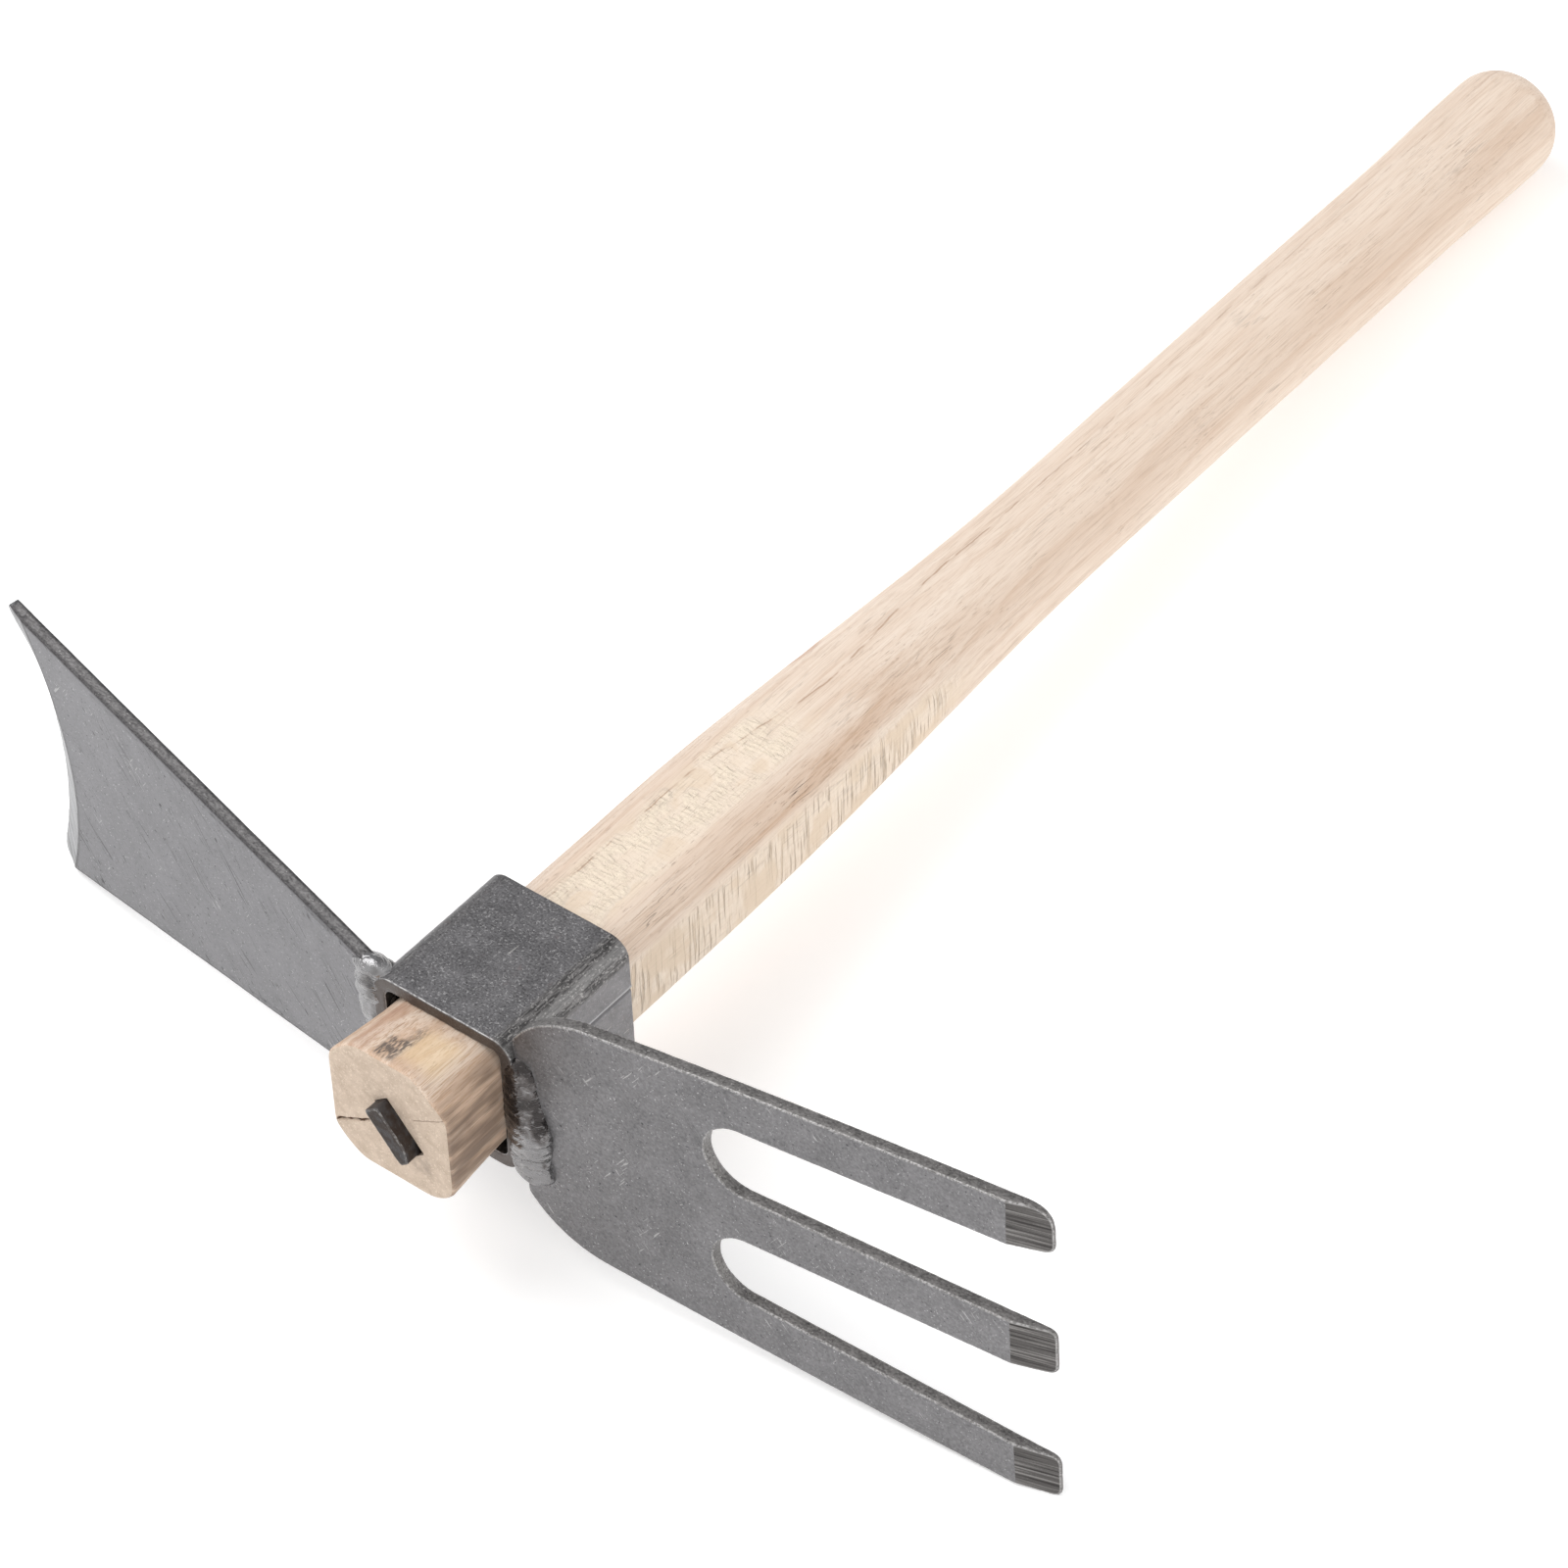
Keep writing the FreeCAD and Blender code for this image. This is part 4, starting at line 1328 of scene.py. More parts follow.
@dataclass
class Socket:
    """Short square tube with rounded corners, cut ends and the tube's own seam on one side."""

    corner: float = 5.0 * MM
    bore_half: float = 16.5 * MM
    bore_corner: float = 2.0 * MM
    end_round: float = 0.45 * MM
    seam_height: float = TubeFinish.seam * MM
    seam_width: float = 0.42 * MM
    seam_depth: float = 0.32 * MM
    length_rows: int = 58
    cut_rows: int = 6
    bore_rows: int = 9
    side_steps: int = 84
    corner_steps: int = 16

    def __post_init__(self) -> None:
        """Takes the outer size from the CAD socket."""
        low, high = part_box("socket")
        self.front = low.y
        self.back = high.y
        self.half = high.x

    def ring(self, half: float, corner: float) -> Array:
        """Closed (x, z) ring: a straight side and a quarter circle, turned four times by a right angle."""
        straight = np.linspace(-(half - corner), half - corner, self.side_steps, endpoint=False)
        side = np.stack([np.full(self.side_steps, half), straight], axis=-1)
        turn = np.linspace(0.0, 0.5 * math.pi, self.corner_steps, endpoint=False)
        bend = half - corner + corner * np.stack([np.cos(turn), np.sin(turn)], axis=-1)
        quarter = np.concatenate([side, bend])
        turned = [quarter]
        for _ in range(3):
            quarter = np.stack([-quarter[:, 1], quarter[:, 0]], axis=-1)
            turned.append(quarter)
        return np.concatenate(turned)

    def corner_reflection_strength(self) -> Array:
        """How much painted reflection each corner takes: 1 round the upper corner by the fork and less round
        the others, 0 on the flats, eased between.
        """
        at_side = np.zeros(self.side_steps)
        fade = np.array([0.7, 0.4, 0.15])
        at_side[: len(fade)] = fade
        at_side[-len(fade):] = fade[::-1]
        quarter = np.concatenate([at_side, np.ones(self.corner_steps)])
        half = self.side_steps // 2
        before = np.concatenate([np.zeros(half), np.ones(len(quarter) - half)])
        strengths = (1.0, 0.25, 0.5, 0.7)
        after = np.roll(strengths, 1)
        return np.concatenate([
            quarter * (own * before + last * (1.0 - before)) for own, last in zip(strengths, after)
        ])

    def build(self) -> bpy.types.Object:
        """Runs a profile round the wall: out along the skin, over the cut end and back along the bore.

        Returns:
            The piece.
        """
        outer = self.ring(self.half, self.corner)
        inner = self.ring(self.bore_half, self.bore_corner)
        wall = self.half - self.bore_half
        swing = np.linspace(0.0, 0.5 * math.pi, 5)
        drop = self.end_round * (1.0 - np.cos(swing)) / wall
        rise = self.end_round * (1.0 - np.sin(swing))
        straight = np.linspace(self.front, self.back, self.length_rows)[1:-1]
        skin_y = np.concatenate([self.front + rise[::-1], straight, self.back - rise])
        skin_share = np.concatenate([1.0 - drop[::-1], np.ones(len(straight)), 1.0 - drop])
        across = np.linspace(1.0 - drop[-1], drop[-1], self.cut_rows)[1:]
        share = np.concatenate([skin_share, across, np.zeros(self.bore_rows), across[::-1]])
        y = np.concatenate([
            skin_y,
            np.full(len(across), self.back),
            np.linspace(self.back - self.end_round * 0.6, self.front + self.end_round * 0.6, self.bore_rows),
            np.full(len(across), self.front),
        ])
        flat = inner + (outer - inner) * share[:, None, None]
        points = np.stack([flat[..., 0], np.broadcast_to(y[:, None], flat.shape[:2]), flat[..., 1]], axis=-1)
        on_skin = (share > 0.5)[:, None]
        rough = Grain(11).at(points, mm(9, 15, 9)) * 0.10
        rough = rough + Grain(12).at(points, (1.6 * MM,) * 3) * 0.025
        direction = points * np.array([1.0, 0.0, 1.0]) / self.half
        points = points + direction * (rough * MM * on_skin)[..., None]
        jagged = Grain(13).at(points, mm(2.1, 60, 2.1)) * 0.12 * MM
        near_front = 1.0 - smoothstep(self.front, self.front + 1.2 * MM, points[..., 1])
        points[..., 1] += jagged * near_front
        seam_place = (points[..., 0] > self.bore_half) * on_skin
        ridge = bump_at(points[..., 2], self.seam_height + 0.5 * MM, self.seam_width)
        groove = bump_at(points[..., 2], self.seam_height - 0.5 * MM, self.seam_width * 1.3)
        points[..., 0] += (0.6 * ridge - groove) * self.seam_depth * seam_place
        # each corner's painted reflection strength goes to the shader in the mesh mask
        worn_and_painted_light = self.corner_reflection_strength()[None, :] * on_skin * np.ones((len(y), 1))
        in_bore = (share[:-1] < 0.01) & (share[1:] < 0.01)
        is_bore = in_bore.astype(int)[:, None] * np.ones((1, len(outer)), int)
        is_bore = np.concatenate([is_bore, np.zeros((1, len(outer)), int)])
        cloth = Patchwork()
        cloth.grid(closed(closed(points), axis=0), is_bore, closed(closed(worn_and_painted_light), axis=0))
        finish = TubeFinish()
        piece = cloth.sew("square_tube_socket", [finish.outside(), finish.inside()], 45.0)
        return hand_over(piece, "socket")


@dataclass
class HoeBlade:
    """Broad flared blade with a hollow cutting edge, ground from its front."""

    thickness: float = 3.4 * MM
    root_half: float = 21.5 * MM
    flare: float = 0.1535
    grind_length: float = 128.5 * MM
    grind_hollow: float = 9.1 * MM
    edge_length: float = 136.3 * MM
    edge_hollow: float = 9.6 * MM
    edge_skew: float = 1.2 * MM
    edge_land: float = 0.4 * MM
    setback: float = 1.4 * MM
    drop: float = 1.0 * MM
    turn: tuple[float, float, float] = (-11.2, -0.65, 2.65)
    arris: float = 0.35 * MM
    top_corner: float = 2.4 * MM
    top_land: float = 2.5 * MM
    bottom_corner: float = 4.5 * MM
    burr_drop: float = 1.6 * MM
    near_rings: tuple[float, float] = mm(1.3, 2.2)
    face_columns: int = 90
    face_rows: int = 92

    def hollow_line(self, share: Array, length: Array, hollow: float) -> Array:
        """Distance out at each height: an arc of a circle, deepest at the middle.

        The circle passes through both corners, and its sagitta is the hollow: with chord half
        H, the radius is (H^2 + h^2) / 2h.
        """
        half = self.root_half + self.flare * length
        radius = (half ** 2 + hollow ** 2) / (2.0 * hollow)
        return length - hollow + radius - np.sqrt(radius ** 2 - (share * half) ** 2)

    def trimmed(self, out: Array, share: Array) -> Array:
        """The edge line with its two corners taken off by arcs of the corners' radii."""
        half = self.root_half + self.flare * self.edge_length
        for up, radius in ((1.0, self.top_corner), (-1.0, self.bottom_corner)):
            inside = np.clip(half * (1.0 - up * share), 0.0, radius)
            out = out - (radius - np.sqrt(radius ** 2 - (radius - inside) ** 2)) * (up * share > 0.0)
        return out

    def half_loop(self) -> tuple[Array, Array, Array, Array]:
        """One side of the blade's cross-section, from the middle of the top edge to that of the bottom.

        Returns:
            For each column: height share from 1 to -1, inset from the edge, depth share from 0 at the face to
                0.5 at mid thickness, and the mask for the painted arris line.
        """
        swing = np.linspace(0.0, 0.5 * math.pi, 5)
        depth = np.concatenate([[0.5, 0.34], self.arris / self.thickness * (1.0 - np.sin(swing))])
        inset = np.concatenate([[0.0, 0.0], self.arris * (1.0 - np.cos(swing))])
        near = self.near_rings
        inset = np.concatenate([inset, near])
        depth = np.concatenate([depth, np.zeros(len(near))])
        wear_and_painted_light = np.concatenate([[0.0, 0.0], np.ones(len(swing)), np.zeros(len(near))])
        middle = np.linspace(0.95, -0.95, self.face_columns)
        share = np.concatenate([np.ones(len(inset)), middle, -np.ones(len(inset))])
        inset = np.concatenate([inset, np.zeros(self.face_columns), -inset[::-1]])
        depth = np.concatenate([depth, np.zeros(self.face_columns), depth[::-1]])
        wear_and_painted_light = np.concatenate([wear_and_painted_light, np.zeros(self.face_columns), wear_and_painted_light[::-1]])
        return share, inset, depth, wear_and_painted_light

    def build(self, material: list[bpy.types.Material]) -> bpy.types.Object:
        """Lofts the cross-section from the socket to the cutting edge and sets it in place.

        Args:
            material: the plate's three materials.

        Returns:
            The piece.
        """
        share, inset, depth, wear_and_painted_light = self.half_loop()
        half_height = self.root_half + self.flare * self.grind_length
        effective = share - inset / half_height
        grind_line = self.hollow_line(effective, np.full(share.shape, self.grind_length), self.grind_hollow)
        reach = self.edge_length - self.edge_skew * effective
        edge_line = self.trimmed(self.hollow_line(effective, reach, self.edge_hollow), effective)
        edge_line = np.maximum(edge_line, grind_line + 0.3 * MM)
        body = np.linspace(0.0, 1.0, self.face_rows)[:, None]
        slope = np.linspace(0.0, 1.0, 10)[1:, None]
        out = np.concatenate([body * grind_line, grind_line + slope * (edge_line - grind_line)])
        land = self.edge_land + (self.top_land - self.edge_land) * smoothstep(0.55, 0.97, effective)
        front = np.concatenate([np.zeros((self.face_rows, len(share))), slope * (self.thickness - land)])
        along_edge = np.stack([effective * 40 * MM, effective * 0, effective * 0], -1)
        nicks = Grain(21).at(along_edge, (1.3 * MM,) * 3)
        out[-1] += nicks * 0.10 * MM
        height = share * (self.root_half + self.flare * out) - inset
        sloped = front / (self.thickness - self.edge_land)
        height = height - self.burr_drop * sloped * smoothstep(-0.80, -1.0, effective)
        flat = np.stack([-out, np.zeros_like(out), height], axis=-1)
        ripple = Grain(22).at(flat, (24 * MM,) * 3) * 0.10 + Grain(23).at(flat, (5 * MM,) * 3) * 0.018
        ragged = Grain(24).at(flat, (1.2 * MM,) * 3) * 0.05 * (np.abs(share) == 1.0)
        height = height + ragged * MM
        sheets = []
        for back in (False, True):
            level = 1.0 - depth if back else depth
            y = front + level * (self.thickness - front) + ripple * MM * (1.0 - sloped)
            sheets.append(np.stack([-out, y, height], axis=-1))
        base = self.base()
        sheets = [sheet @ axis_turn(*self.turn).T + base for sheet in sheets]

        cloth = Patchwork()
        columns = len(share)
        on_rim = np.abs(share) == 1.0
        inside = depth > 0.0
        at_edge = on_rim[:-1] & on_rim[1:] & (inside[:-1] | inside[1:])
        kinds = np.where(at_edge, SteelPart.EDGE.value, SteelPart.FACE.value)
        kinds = np.broadcast_to(kinds, (len(out) - 1, columns - 1)).copy()
        cloth.grid(sheets[1], kinds, wear_and_painted_light)
        ground = np.arange(len(out) - 1) >= self.face_rows - 1
        kinds[ground] = np.where(at_edge, SteelPart.EDGE.value, SteelPart.GROUND.value)
        burred = np.broadcast_to(wear_and_painted_light, (len(out), columns)).copy()
        burred[self.face_rows - 1] = 1.0
        cloth.grid(sheets[0], kinds, burred)
        for row, kind in ((-1, SteelPart.GROUND), (0, SteelPart.EDGE)):
            cloth.grid(np.stack([sheets[0][row], sheets[1][row]]), kind.value)
        return hand_over(cloth.sew("flared_hoe_blade", material, 30.0), "hoe_blade")

    def base(self) -> Array:
        """Where the blade's front face meets the socket's side."""
        low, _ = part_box("socket")
        return np.array([low.x, low.y + self.setback, -self.drop])


@dataclass
class Fork:
    """Three flat tines cut from one plate, their tips ground from the front."""

    thickness: float = 3.2 * MM
    root_half: float = 23.8 * MM
    shoulder: tuple[float, float] = mm(20.0, 36.5)
    shoulder_mid: tuple[float, float] = mm(8.8, 32.7)
    side_mid: tuple[float, float] = mm(79.0, 41.5)
    tip_half: float = 45.0 * MM
    length: float = 138.3 * MM
    grind_length: float = 10.3 * MM
    tip_land: float = 0.7 * MM
    slot_root: float = 50.4 * MM
    slot_round: float = 60.5 * MM
    upper_slot: Sides = (mm(7.1, 27.5), mm(7.7, 31.9))
    lower_slot: Sides = (mm(7.0, 26.5), mm(5.5, 32.5))
    tine_corner: float = 2.4 * MM
    outer_corner: float = 6.5 * MM
    setback: float = 1.6 * MM
    drop: float = 2.2 * MM
    turn: tuple[float, float, float] = (3.8, -1.6, 0.0)
    arris: float = 0.30 * MM
    step: float = 0.9 * MM

    def slot(self, sides: Sides, up: float) -> tuple[Array, Array, Array]:
        """One slot.

        Args:
            sides: the heights of its inner and outer side, where straight and at the tips.
            up: 1 for the upper slot, -1 for the lower.

        Returns:
            Its outer mouth corner, its round end from outer to inner side, and its inner mouth corner.
        """
        (inner, outer), (tip_inner, tip_outer) = sides
        start = (self.slot_round, up * outer)
        middle = (self.slot_root, up * (inner + outer) / 2.0)
        end = (self.slot_round, up * inner)
        mouth_outer = np.array([self.length, up * tip_outer])
        mouth_inner = np.array([self.length, up * tip_inner])
        return mouth_outer, arc_through(start, middle, end, 40), mouth_inner

    def outline(self) -> Array:
        """Closed outline of the plate, from the top of the root round all three tines."""
        side = arc_through(self.shoulder, self.side_mid, (self.length, self.tip_half), 60)
        bend = arc_through((0.0, self.root_half), self.shoulder_mid, self.shoulder, 24)
        top = np.concatenate([bend[:-1], side])
        below = top[::-1] * np.array([1.0, -1.0])
        upper_outer, upper_end, upper_inner = self.slot(self.upper_slot, 1.0)
        lower_outer, lower_end, lower_inner = self.slot(self.lower_slot, -1.0)
        small = self.tine_corner
        parts = [
            top[:-4],
            rounded_corner(top[-5], top[-1], upper_outer, self.outer_corner),
            rounded_corner(top[-1], upper_outer, upper_end[0], small),
            upper_end,
            rounded_corner(upper_end[-1], upper_inner, lower_inner, small),
            rounded_corner(upper_inner, lower_inner, lower_end[-1], small),
            lower_end[::-1],
            rounded_corner(lower_end[0], lower_outer, below[0], small),
            rounded_corner(lower_outer, below[0], below[4], small),
            below[4:],
        ]
        return evenly_spaced(np.concatenate(parts), self.step)

    def with_grind_points(self, outline: Array) -> Array:
        """The outline with a point added wherever it crosses the line where the grinding starts."""
        limit = self.length - self.grind_length
        ahead = np.roll(outline, -1, axis=0)
        crossing = np.flatnonzero((outline[:, 0] - limit) * (ahead[:, 0] - limit) < 0.0)
        part = (limit - outline[crossing, 0]) / (ahead[crossing, 0] - outline[crossing, 0])
        added = outline[crossing] + part[:, None] * (ahead[crossing] - outline[crossing])
        added[:, 0] = limit
        return np.insert(outline, crossing + 1, added, axis=0)

    def front_depth(self, out: Array) -> Array:
        """Depth of the front face: 0, then a straight slope towards the tips."""
        slope = (self.thickness - self.tip_land) / self.grind_length
        return np.maximum(out - (self.length - self.grind_length), 0.0) * slope

    def layers(self) -> tuple[Array, Array, Array, Array]:
        """Rings across the thickness, from inside the front face round the edge to inside the back.

        Returns:
            For each ring: inset, depth share, the mask for the painted arris line, and whether the strip
                after it is the edge.
        """
        swing = np.linspace(0.0, 0.5 * math.pi, 4)
        inset = np.concatenate([[1.5 * MM, 0.8 * MM], self.arris * (1.0 - np.cos(swing[::-1]))])
        depth = np.concatenate([[0.0, 0.0], self.arris / self.thickness * (1.0 - np.sin(swing[::-1]))])
        wear_and_painted_light = np.concatenate([[0.0, 0.0], np.ones(len(swing))])
        middle = np.array([0.22, 0.40, 0.60, 0.78])
        bulge = np.array([-0.03, -0.07, -0.04, 0.0]) * MM
        inset = np.concatenate([inset, bulge, inset[::-1]])
        depth = np.concatenate([depth, middle, 1.0 - depth[::-1]])
        wear_and_painted_light = np.concatenate([wear_and_painted_light, np.zeros(len(middle)), wear_and_painted_light[::-1]])
        count = len(inset)
        is_edge = (np.arange(count - 1) >= 2) & (np.arange(count - 1) < count - 3)
        return inset, depth, wear_and_painted_light, is_edge

    def build(self, material: list[bpy.types.Material]) -> bpy.types.Object:
        """Stacks insets of the outline through the thickness and fills both faces.

        Args:
            material: the plate's three materials.

        Returns:
            The piece.
        """
        outline = self.with_grind_points(self.outline())
        normal = ring_normals(outline)
        inset, depth, wear_and_painted_light, is_edge = self.layers()
        flat = outline[None] - inset[:, None, None] * normal[None]
        probe = np.stack([flat[..., 0], flat[..., 0] * 0.0, flat[..., 1]], axis=-1)
        ragged = Grain(31).at(probe, (1.1 * MM,) * 3) * 0.05 * MM
        flat = flat + (ragged * (np.abs(inset) < 0.5 * MM)[:, None])[..., None] * normal
        front = self.front_depth(flat[..., 0])
        y = front + depth[:, None] * (self.thickness - front)
        points = np.stack([flat[..., 0], y, flat[..., 1]], axis=-1)
        points = points @ axis_turn(*self.turn).T + self.base()

        cloth = Patchwork()
        tip = outline[:, 0] > self.length - self.grind_length - 1e-7
        kinds = np.where(is_edge, SteelPart.EDGE.value, SteelPart.FACE.value)[:, None]
        kinds = kinds * np.ones((1, len(outline)), int)
        kinds[:2, tip & np.roll(tip, -1)] = SteelPart.GROUND.value
        cloth.grid(closed(points), kinds, wear_and_painted_light[:, None] * np.ones((1, len(outline) + 1)))
        at_limit = np.abs(outline[:, 0] - (self.length - self.grind_length)) < 1e-7
        cloth.polygon(points[0][~tip | at_limit], SteelPart.FACE.value)
        cloth.polygon(points[-1], SteelPart.FACE.value)
        limits = np.flatnonzero(at_limit)
        for start, end in zip(limits[0::2], limits[1::2]):
            cloth.polygon(points[0][start:end + 1], SteelPart.GROUND.value)
        return hand_over(cloth.sew("three_tined_fork", material, 40.0), "fork")

    def base(self) -> Array:
        """Where the fork's front face meets the socket's side."""
        low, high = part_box("socket")
        return np.array([high.x, low.y + self.setback, -self.drop])


@dataclass
class Bead:
    """Weld bead laid down the corner between a plate and the socket.

    The ends are (height, radius, distance from the socket's centre plane); lumps are
    (height, radius gain, width) of single drops that stand out of the run.
    """

    name: str
    node: str
    side: float
    depth: float
    top: tuple[float, float, float]
    bottom: tuple[float, float, float]
    seed: int
    lumps: tuple[tuple[float, float, float], ...] = ()
    drop_spacing: float = 4.6 * MM
    roughness: float = 1.0
    spread: float = 1.25
    flatness: float = 0.85
    rows: int = 150
    columns: int = 56

    def radius(self, height: Array, share: Array) -> Array:
        """Radius down the bead: a straight run between the ends, scalloped by drops and lumps.

        Each drop adds the top half of a sine wave, so that the drops meet in sharp valleys.
        """
        run = self.top[1] + (self.bottom[1] - self.top[1]) * share
        drops = np.abs(np.sin(math.pi * (height - self.bottom[0]) / self.drop_spacing))
        run = run * (0.95 + 0.06 * drops ** 0.6)
        for place, gain, width in self.lumps:
            run = run + gain * bump_at(height, place, width)
        return run

    def build(self, material: bpy.types.Material) -> bpy.types.Object:
        """Wraps rings of the bead's radius round its centre line, with round closed ends.

        Args:
            material: the weld metal.

        Returns:
            The piece.
        """
        top, bottom = self.top, self.bottom
        share = np.linspace(0.0, 1.0, self.rows)
        reach = top[0] - bottom[0] + top[1] + bottom[1]
        height = top[0] + top[1] - reach * (0.5 - 0.5 * np.cos(math.pi * share))
        along = np.clip((top[0] - height) / (top[0] - bottom[0]), 0.0, 1.0)
        radius = self.radius(height, along)
        over_top = np.clip((height - top[0]) / top[1], 0.0, 1.0)
        over_bottom = np.clip((bottom[0] - height) / bottom[1], 0.0, 1.0)
        closing = np.sqrt(np.maximum(1.0 - over_top ** 2, 0.0))
        closing = closing * np.sqrt(np.maximum(1.0 - over_bottom ** 2, 0.0))
        radius = radius * closing
        angle = np.linspace(0.0, 2.0 * math.pi, self.columns, endpoint=False)
        out = top[2] + (bottom[2] - top[2]) * along
        x = self.side * (out[:, None] + radius[:, None] * np.cos(angle) * self.spread)
        y = self.depth + radius[:, None] * np.sin(angle) * self.flatness
        points = np.stack([x, y, np.broadcast_to(height[:, None], x.shape)], axis=-1)
        lumpy = Grain(self.seed).at(points, (4.6 * MM,) * 3) * 0.13
        lumpy = lumpy + Grain(self.seed + 1).at(points, (1.7 * MM,) * 3) * 0.045
        lumpy = lumpy + Grain(self.seed + 2).at(points, (7.0 * MM,) * 3) * 0.12
        swell = 1.0 + self.roughness * lumpy
        core = np.stack([self.side * out, np.full(self.rows, self.depth), height], axis=-1)[:, None, :]
        points = core + (points - core) * swell[..., None]
        # the bead's hollows, which the weld finish paints with shade
        pits = np.clip(-lumpy * 5.0 - 0.6, 0.0, 1.0)
        cloth = Patchwork()
        cloth.grid(closed(points), 0, closed(pits))
        piece = cloth.sew(self.name, [material], 60.0)
        return hand_over(piece, self.node)


@dataclass
class Welds:
    """The four beads that hold the plates to the socket."""

    sink: float = 1.2 * MM

    def build(self, blade: HoeBlade, fork: Fork) -> list[bpy.types.Object]:
        """Lays the four beads.

        Args:
            blade: the hoe blade.
            fork: the fork.

        Returns:
            The pieces.
        """
        low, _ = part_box("socket")
        blade_face = low.y + blade.setback
        fork_face = low.y + fork.setback
        beads = (
            Bead(
                name="hoe_front_weld", node="hoe_weld_front", side=-1.0, depth=blade_face + self.sink,
                seed=41, top=mm(17.5, 3.9, 22.0), bottom=mm(-16.0, 2.4, 21.4),
                lumps=(mm(19.5, 0.9, 1.4), mm(15.5, 0.9, 1.1), mm(11.5, 0.7, 1.2)),
                drop_spacing=3.6 * MM, roughness=1.3, spread=1.35, flatness=0.75,
            ),
            Bead(
                name="hoe_rear_weld", node="hoe_weld_back", side=-1.0, depth=blade_face + blade.thickness,
                seed=43, top=mm(15.5, 3.4, 20.6), bottom=mm(-15.5, 3.0, 20.6),
            ),
            Bead(
                name="fork_front_weld", node="fork_weld_front", side=1.0, depth=fork_face + self.sink,
                seed=45, top=mm(13.0, 3.4, 20.2), bottom=mm(-17.5, 4.6, 22.4),
                lumps=(mm(-4.0, 0.6, 5.0), mm(-18.5, 0.4, 2.5)),
                drop_spacing=2.6 * MM, spread=1.3, flatness=0.95,
            ),
            Bead(
                name="fork_rear_weld", node="fork_weld_back", side=1.0, depth=fork_face + fork.thickness,
                seed=47, top=mm(15.5, 3.0, 20.6), bottom=mm(-16.0, 3.2, 20.6),
            ),
        )
        dark = WeldFinish().make()
        pale = WeldFinish(
            name="weld_metal_pale", metal=(0.300, 0.296, 0.300), heat_tint_and_painted_dark=(0.170, 0.164, 0.162),
            soot_and_painted_shade=(0.060, 0.057, 0.056), painted_sparkle=0.14, painted_dark_top=0.0,
        ).make()
        return [bead.build(pale if bead.side < 0.0 else dark) for bead in beads]


# ---------------------------------------------------------------- the studio


@dataclass(frozen=True)
class SoftLight:
    """A square light: its place from the camera's aim and its side in metres, and its watts."""

    name: str
    place: tuple[float, float, float]
    size: float
    power: float


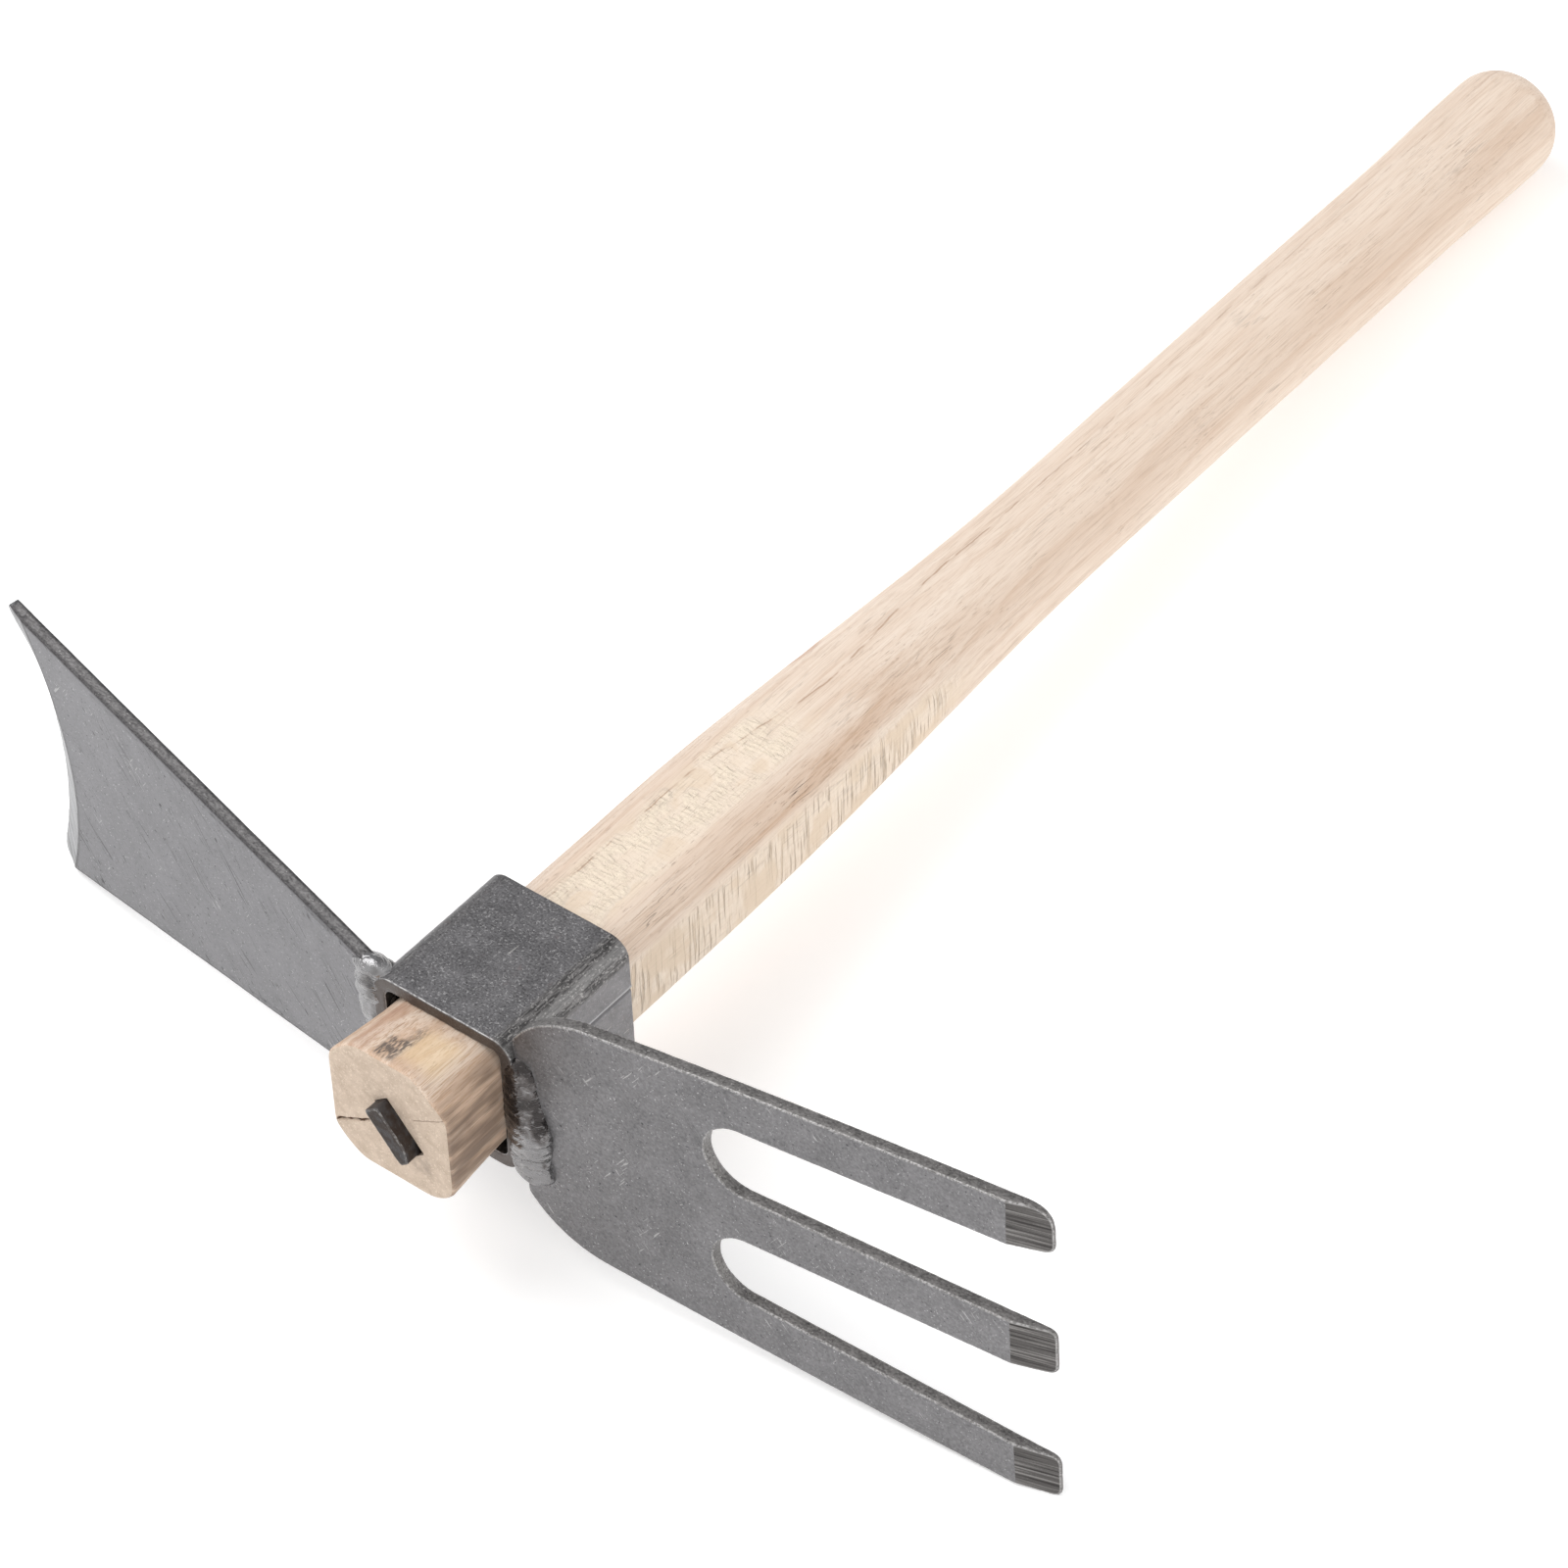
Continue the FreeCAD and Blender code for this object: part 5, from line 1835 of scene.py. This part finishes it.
@dataclass
class Studio:
    """Plain pale floor, soft light from all round and the camera."""

    floor_half: float = 4.0
    floor_gap: float = 0.3 * MM
    floor_colour: Colour = (0.92, 0.92, 0.92)
    floor_glow: float = 0.27
    sky: Colour = (1.0, 1.0, 1.0)
    shade: Colour = (0.44, 0.44, 0.45)
    dark_side: tuple[float, float, float] = (-0.46, 0.56, 0.69)
    dark_from: float = 0.35
    dark_to: float = 0.95
    azimuth: float = 39.658
    elevation: float = 43.750
    roll: float = -2.2015
    distance: float = 1370.97 * MM
    aim_past_socket: float = 96.82 * MM
    aim_aside: float = 2.92 * MM
    lens: float = 135.70
    clip: tuple[float, float] = (0.05, 50.0)
    lights: tuple[SoftLight, ...] = (
        SoftLight("soft_right", (1.3, 0.5, 0.35), 1.1, 1.5),
        SoftLight("soft_above_left", (-0.9, -0.3, 1.6), 1.4, 17.0),
    )

    def support_plane(self) -> tuple[Vector, Vector]:
        """The plane that the lower tine, the blade's lower corner and the butt rest on.

        Returns:
            A point of the plane and its upward normal.
        """
        fork_low, fork_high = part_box("fork")
        blade_low, blade_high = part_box("hoe_blade")
        _, handle_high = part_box("handle")
        grip = Handle()
        tine = Vector((fork_high.x, (fork_low.y + fork_high.y) / 2.0, fork_low.z))
        blade = Vector((blade_low.x, blade_high.y, blade_low.z))
        butt = Vector((0.0, handle_high.y - grip.dome_length, -grip.butt_radius))
        normal = (tine - blade).cross(butt - blade).normalized()
        if normal.z < 0.0:
            normal.negate()
        return blade - normal * self.floor_gap, normal

    def build_floor(self) -> bpy.types.Object:
        """A wide flat floor, faintly mottled, set on the support plane.

        Returns:
            The floor.
        """
        point, normal = self.support_plane()
        side = normal.cross(Vector((0.0, 1.0, 0.0))).normalized()
        ahead = normal.cross(side)
        corners = [
            point + side * (i * self.floor_half) + ahead * (k * self.floor_half)
            for i, k in ((-1, -1), (1, -1), (1, 1), (-1, 1))
        ]
        mesh = bpy.data.meshes.new("floor")
        mesh.from_pydata([tuple(c) for c in corners], [], [(0, 1, 2, 3)])
        shade = Shade("pale_floor")
        cloud = shade.noise(400.0, detail=2.0, seed=201)
        colour = shade.mix(cloud * 0.04, self.floor_colour, (0.90, 0.90, 0.91))
        mesh.materials.append(
            shade.finish(
                colour,
                0.9,
                Specular_IOR_Level=0.1,
                Emission_Color=(1.0, 1.0, 1.0, 1.0),
                Emission_Strength=self.floor_glow,
            )
        )
        floor = bpy.data.objects.new("floor", mesh)
        bpy.context.scene.collection.objects.link(floor)
        return floor

    def build_world(self) -> None:
        """Even pale surroundings that fade to grey on one side."""
        world = bpy.data.worlds.new("studio")
        world.use_nodes = True
        bpy.context.scene.world = world
        nodes = Nodes(world.node_tree)
        where = nodes.add("ShaderNodeTexCoord", {}, {}, "Generated")
        inputs = {0: where, 1: Vector(self.dark_side).normalized()}
        facing = nodes.add("ShaderNodeVectorMath", {"operation": "DOT_PRODUCT"}, inputs, "Value")
        colour = nodes.mix(facing.rise(self.dark_from, self.dark_to), self.sky, self.shade)
        background = nodes.add("ShaderNodeBackground", {}, {"Color": colour})
        nodes.add("ShaderNodeOutputWorld", {}, {"Surface": background}, None)

    def add_light(self, soft: SoftLight) -> None:
        """Adds a light that faces the camera's aim.

        Args:
            soft: the light's name, place, size and power.
        """
        light = bpy.data.lights.new(soft.name, "AREA")
        light.shape = "SQUARE"
        light.size = soft.size
        light.energy = soft.power
        lamp = bpy.data.objects.new(soft.name, light)
        aim = self.aim()
        lamp.location = aim + Vector(soft.place)
        lamp.rotation_euler = (aim - lamp.location).to_track_quat("-Z", "Y").to_euler()
        bpy.context.scene.collection.objects.link(lamp)

    def aim(self) -> Vector:
        """The point that the camera looks at: on the handle, behind the socket."""
        low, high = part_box("socket")
        return Vector((self.aim_aside, (low.y + high.y) / 2.0 + self.aim_past_socket, 0.0))

    def build_camera(self) -> None:
        """The camera, turned by its azimuth, elevation and roll about the aim."""
        azimuth, elevation = math.radians(self.azimuth), math.radians(self.elevation)
        back = Vector((
            math.sin(azimuth) * math.cos(elevation),
            -math.cos(azimuth) * math.cos(elevation),
            math.sin(elevation),
        ))
        level = Vector((0.0, 0.0, 1.0)).cross(back).normalized()
        upright = back.cross(level)
        roll = math.radians(self.roll)
        right = level * math.cos(roll) + upright * math.sin(roll)
        up = back.cross(right)
        data = bpy.data.cameras.new("camera")
        data.lens = self.lens
        data.clip_start, data.clip_end = self.clip
        camera = bpy.data.objects.new("camera", data)
        turned = Matrix((right, up, back)).transposed().to_4x4()
        camera.matrix_world = Matrix.Translation(self.aim() + back * self.distance) @ turned
        bpy.context.scene.collection.objects.link(camera)
        bpy.context.scene.camera = camera

    def build(self) -> None:
        """Sets up the floor, the light and the camera."""
        self.build_floor()
        self.build_world()
        for light in self.lights:
            self.add_light(light)
        self.build_camera()
        bpy.context.scene.view_settings.view_transform = "Standard"
        LOG.info("studio: floor, world, two soft lights and camera")


def main() -> None:
    """Builds the pieces in order, then the studio."""
    logging.basicConfig(level=logging.INFO, format="%(name)s %(message)s")
    wedge = Wedge()
    handle = Handle()
    handle.build(wedge)
    wedge.build(handle.nose_end)
    Socket().build()
    blade = HoeBlade()
    blade.build(HOE_FINISH.all())
    fork = Fork()
    fork.build(FORK_FINISH.all())
    Welds().build(blade, fork)
    Studio().build()
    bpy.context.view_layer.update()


if __name__ == "__main__":
    main()
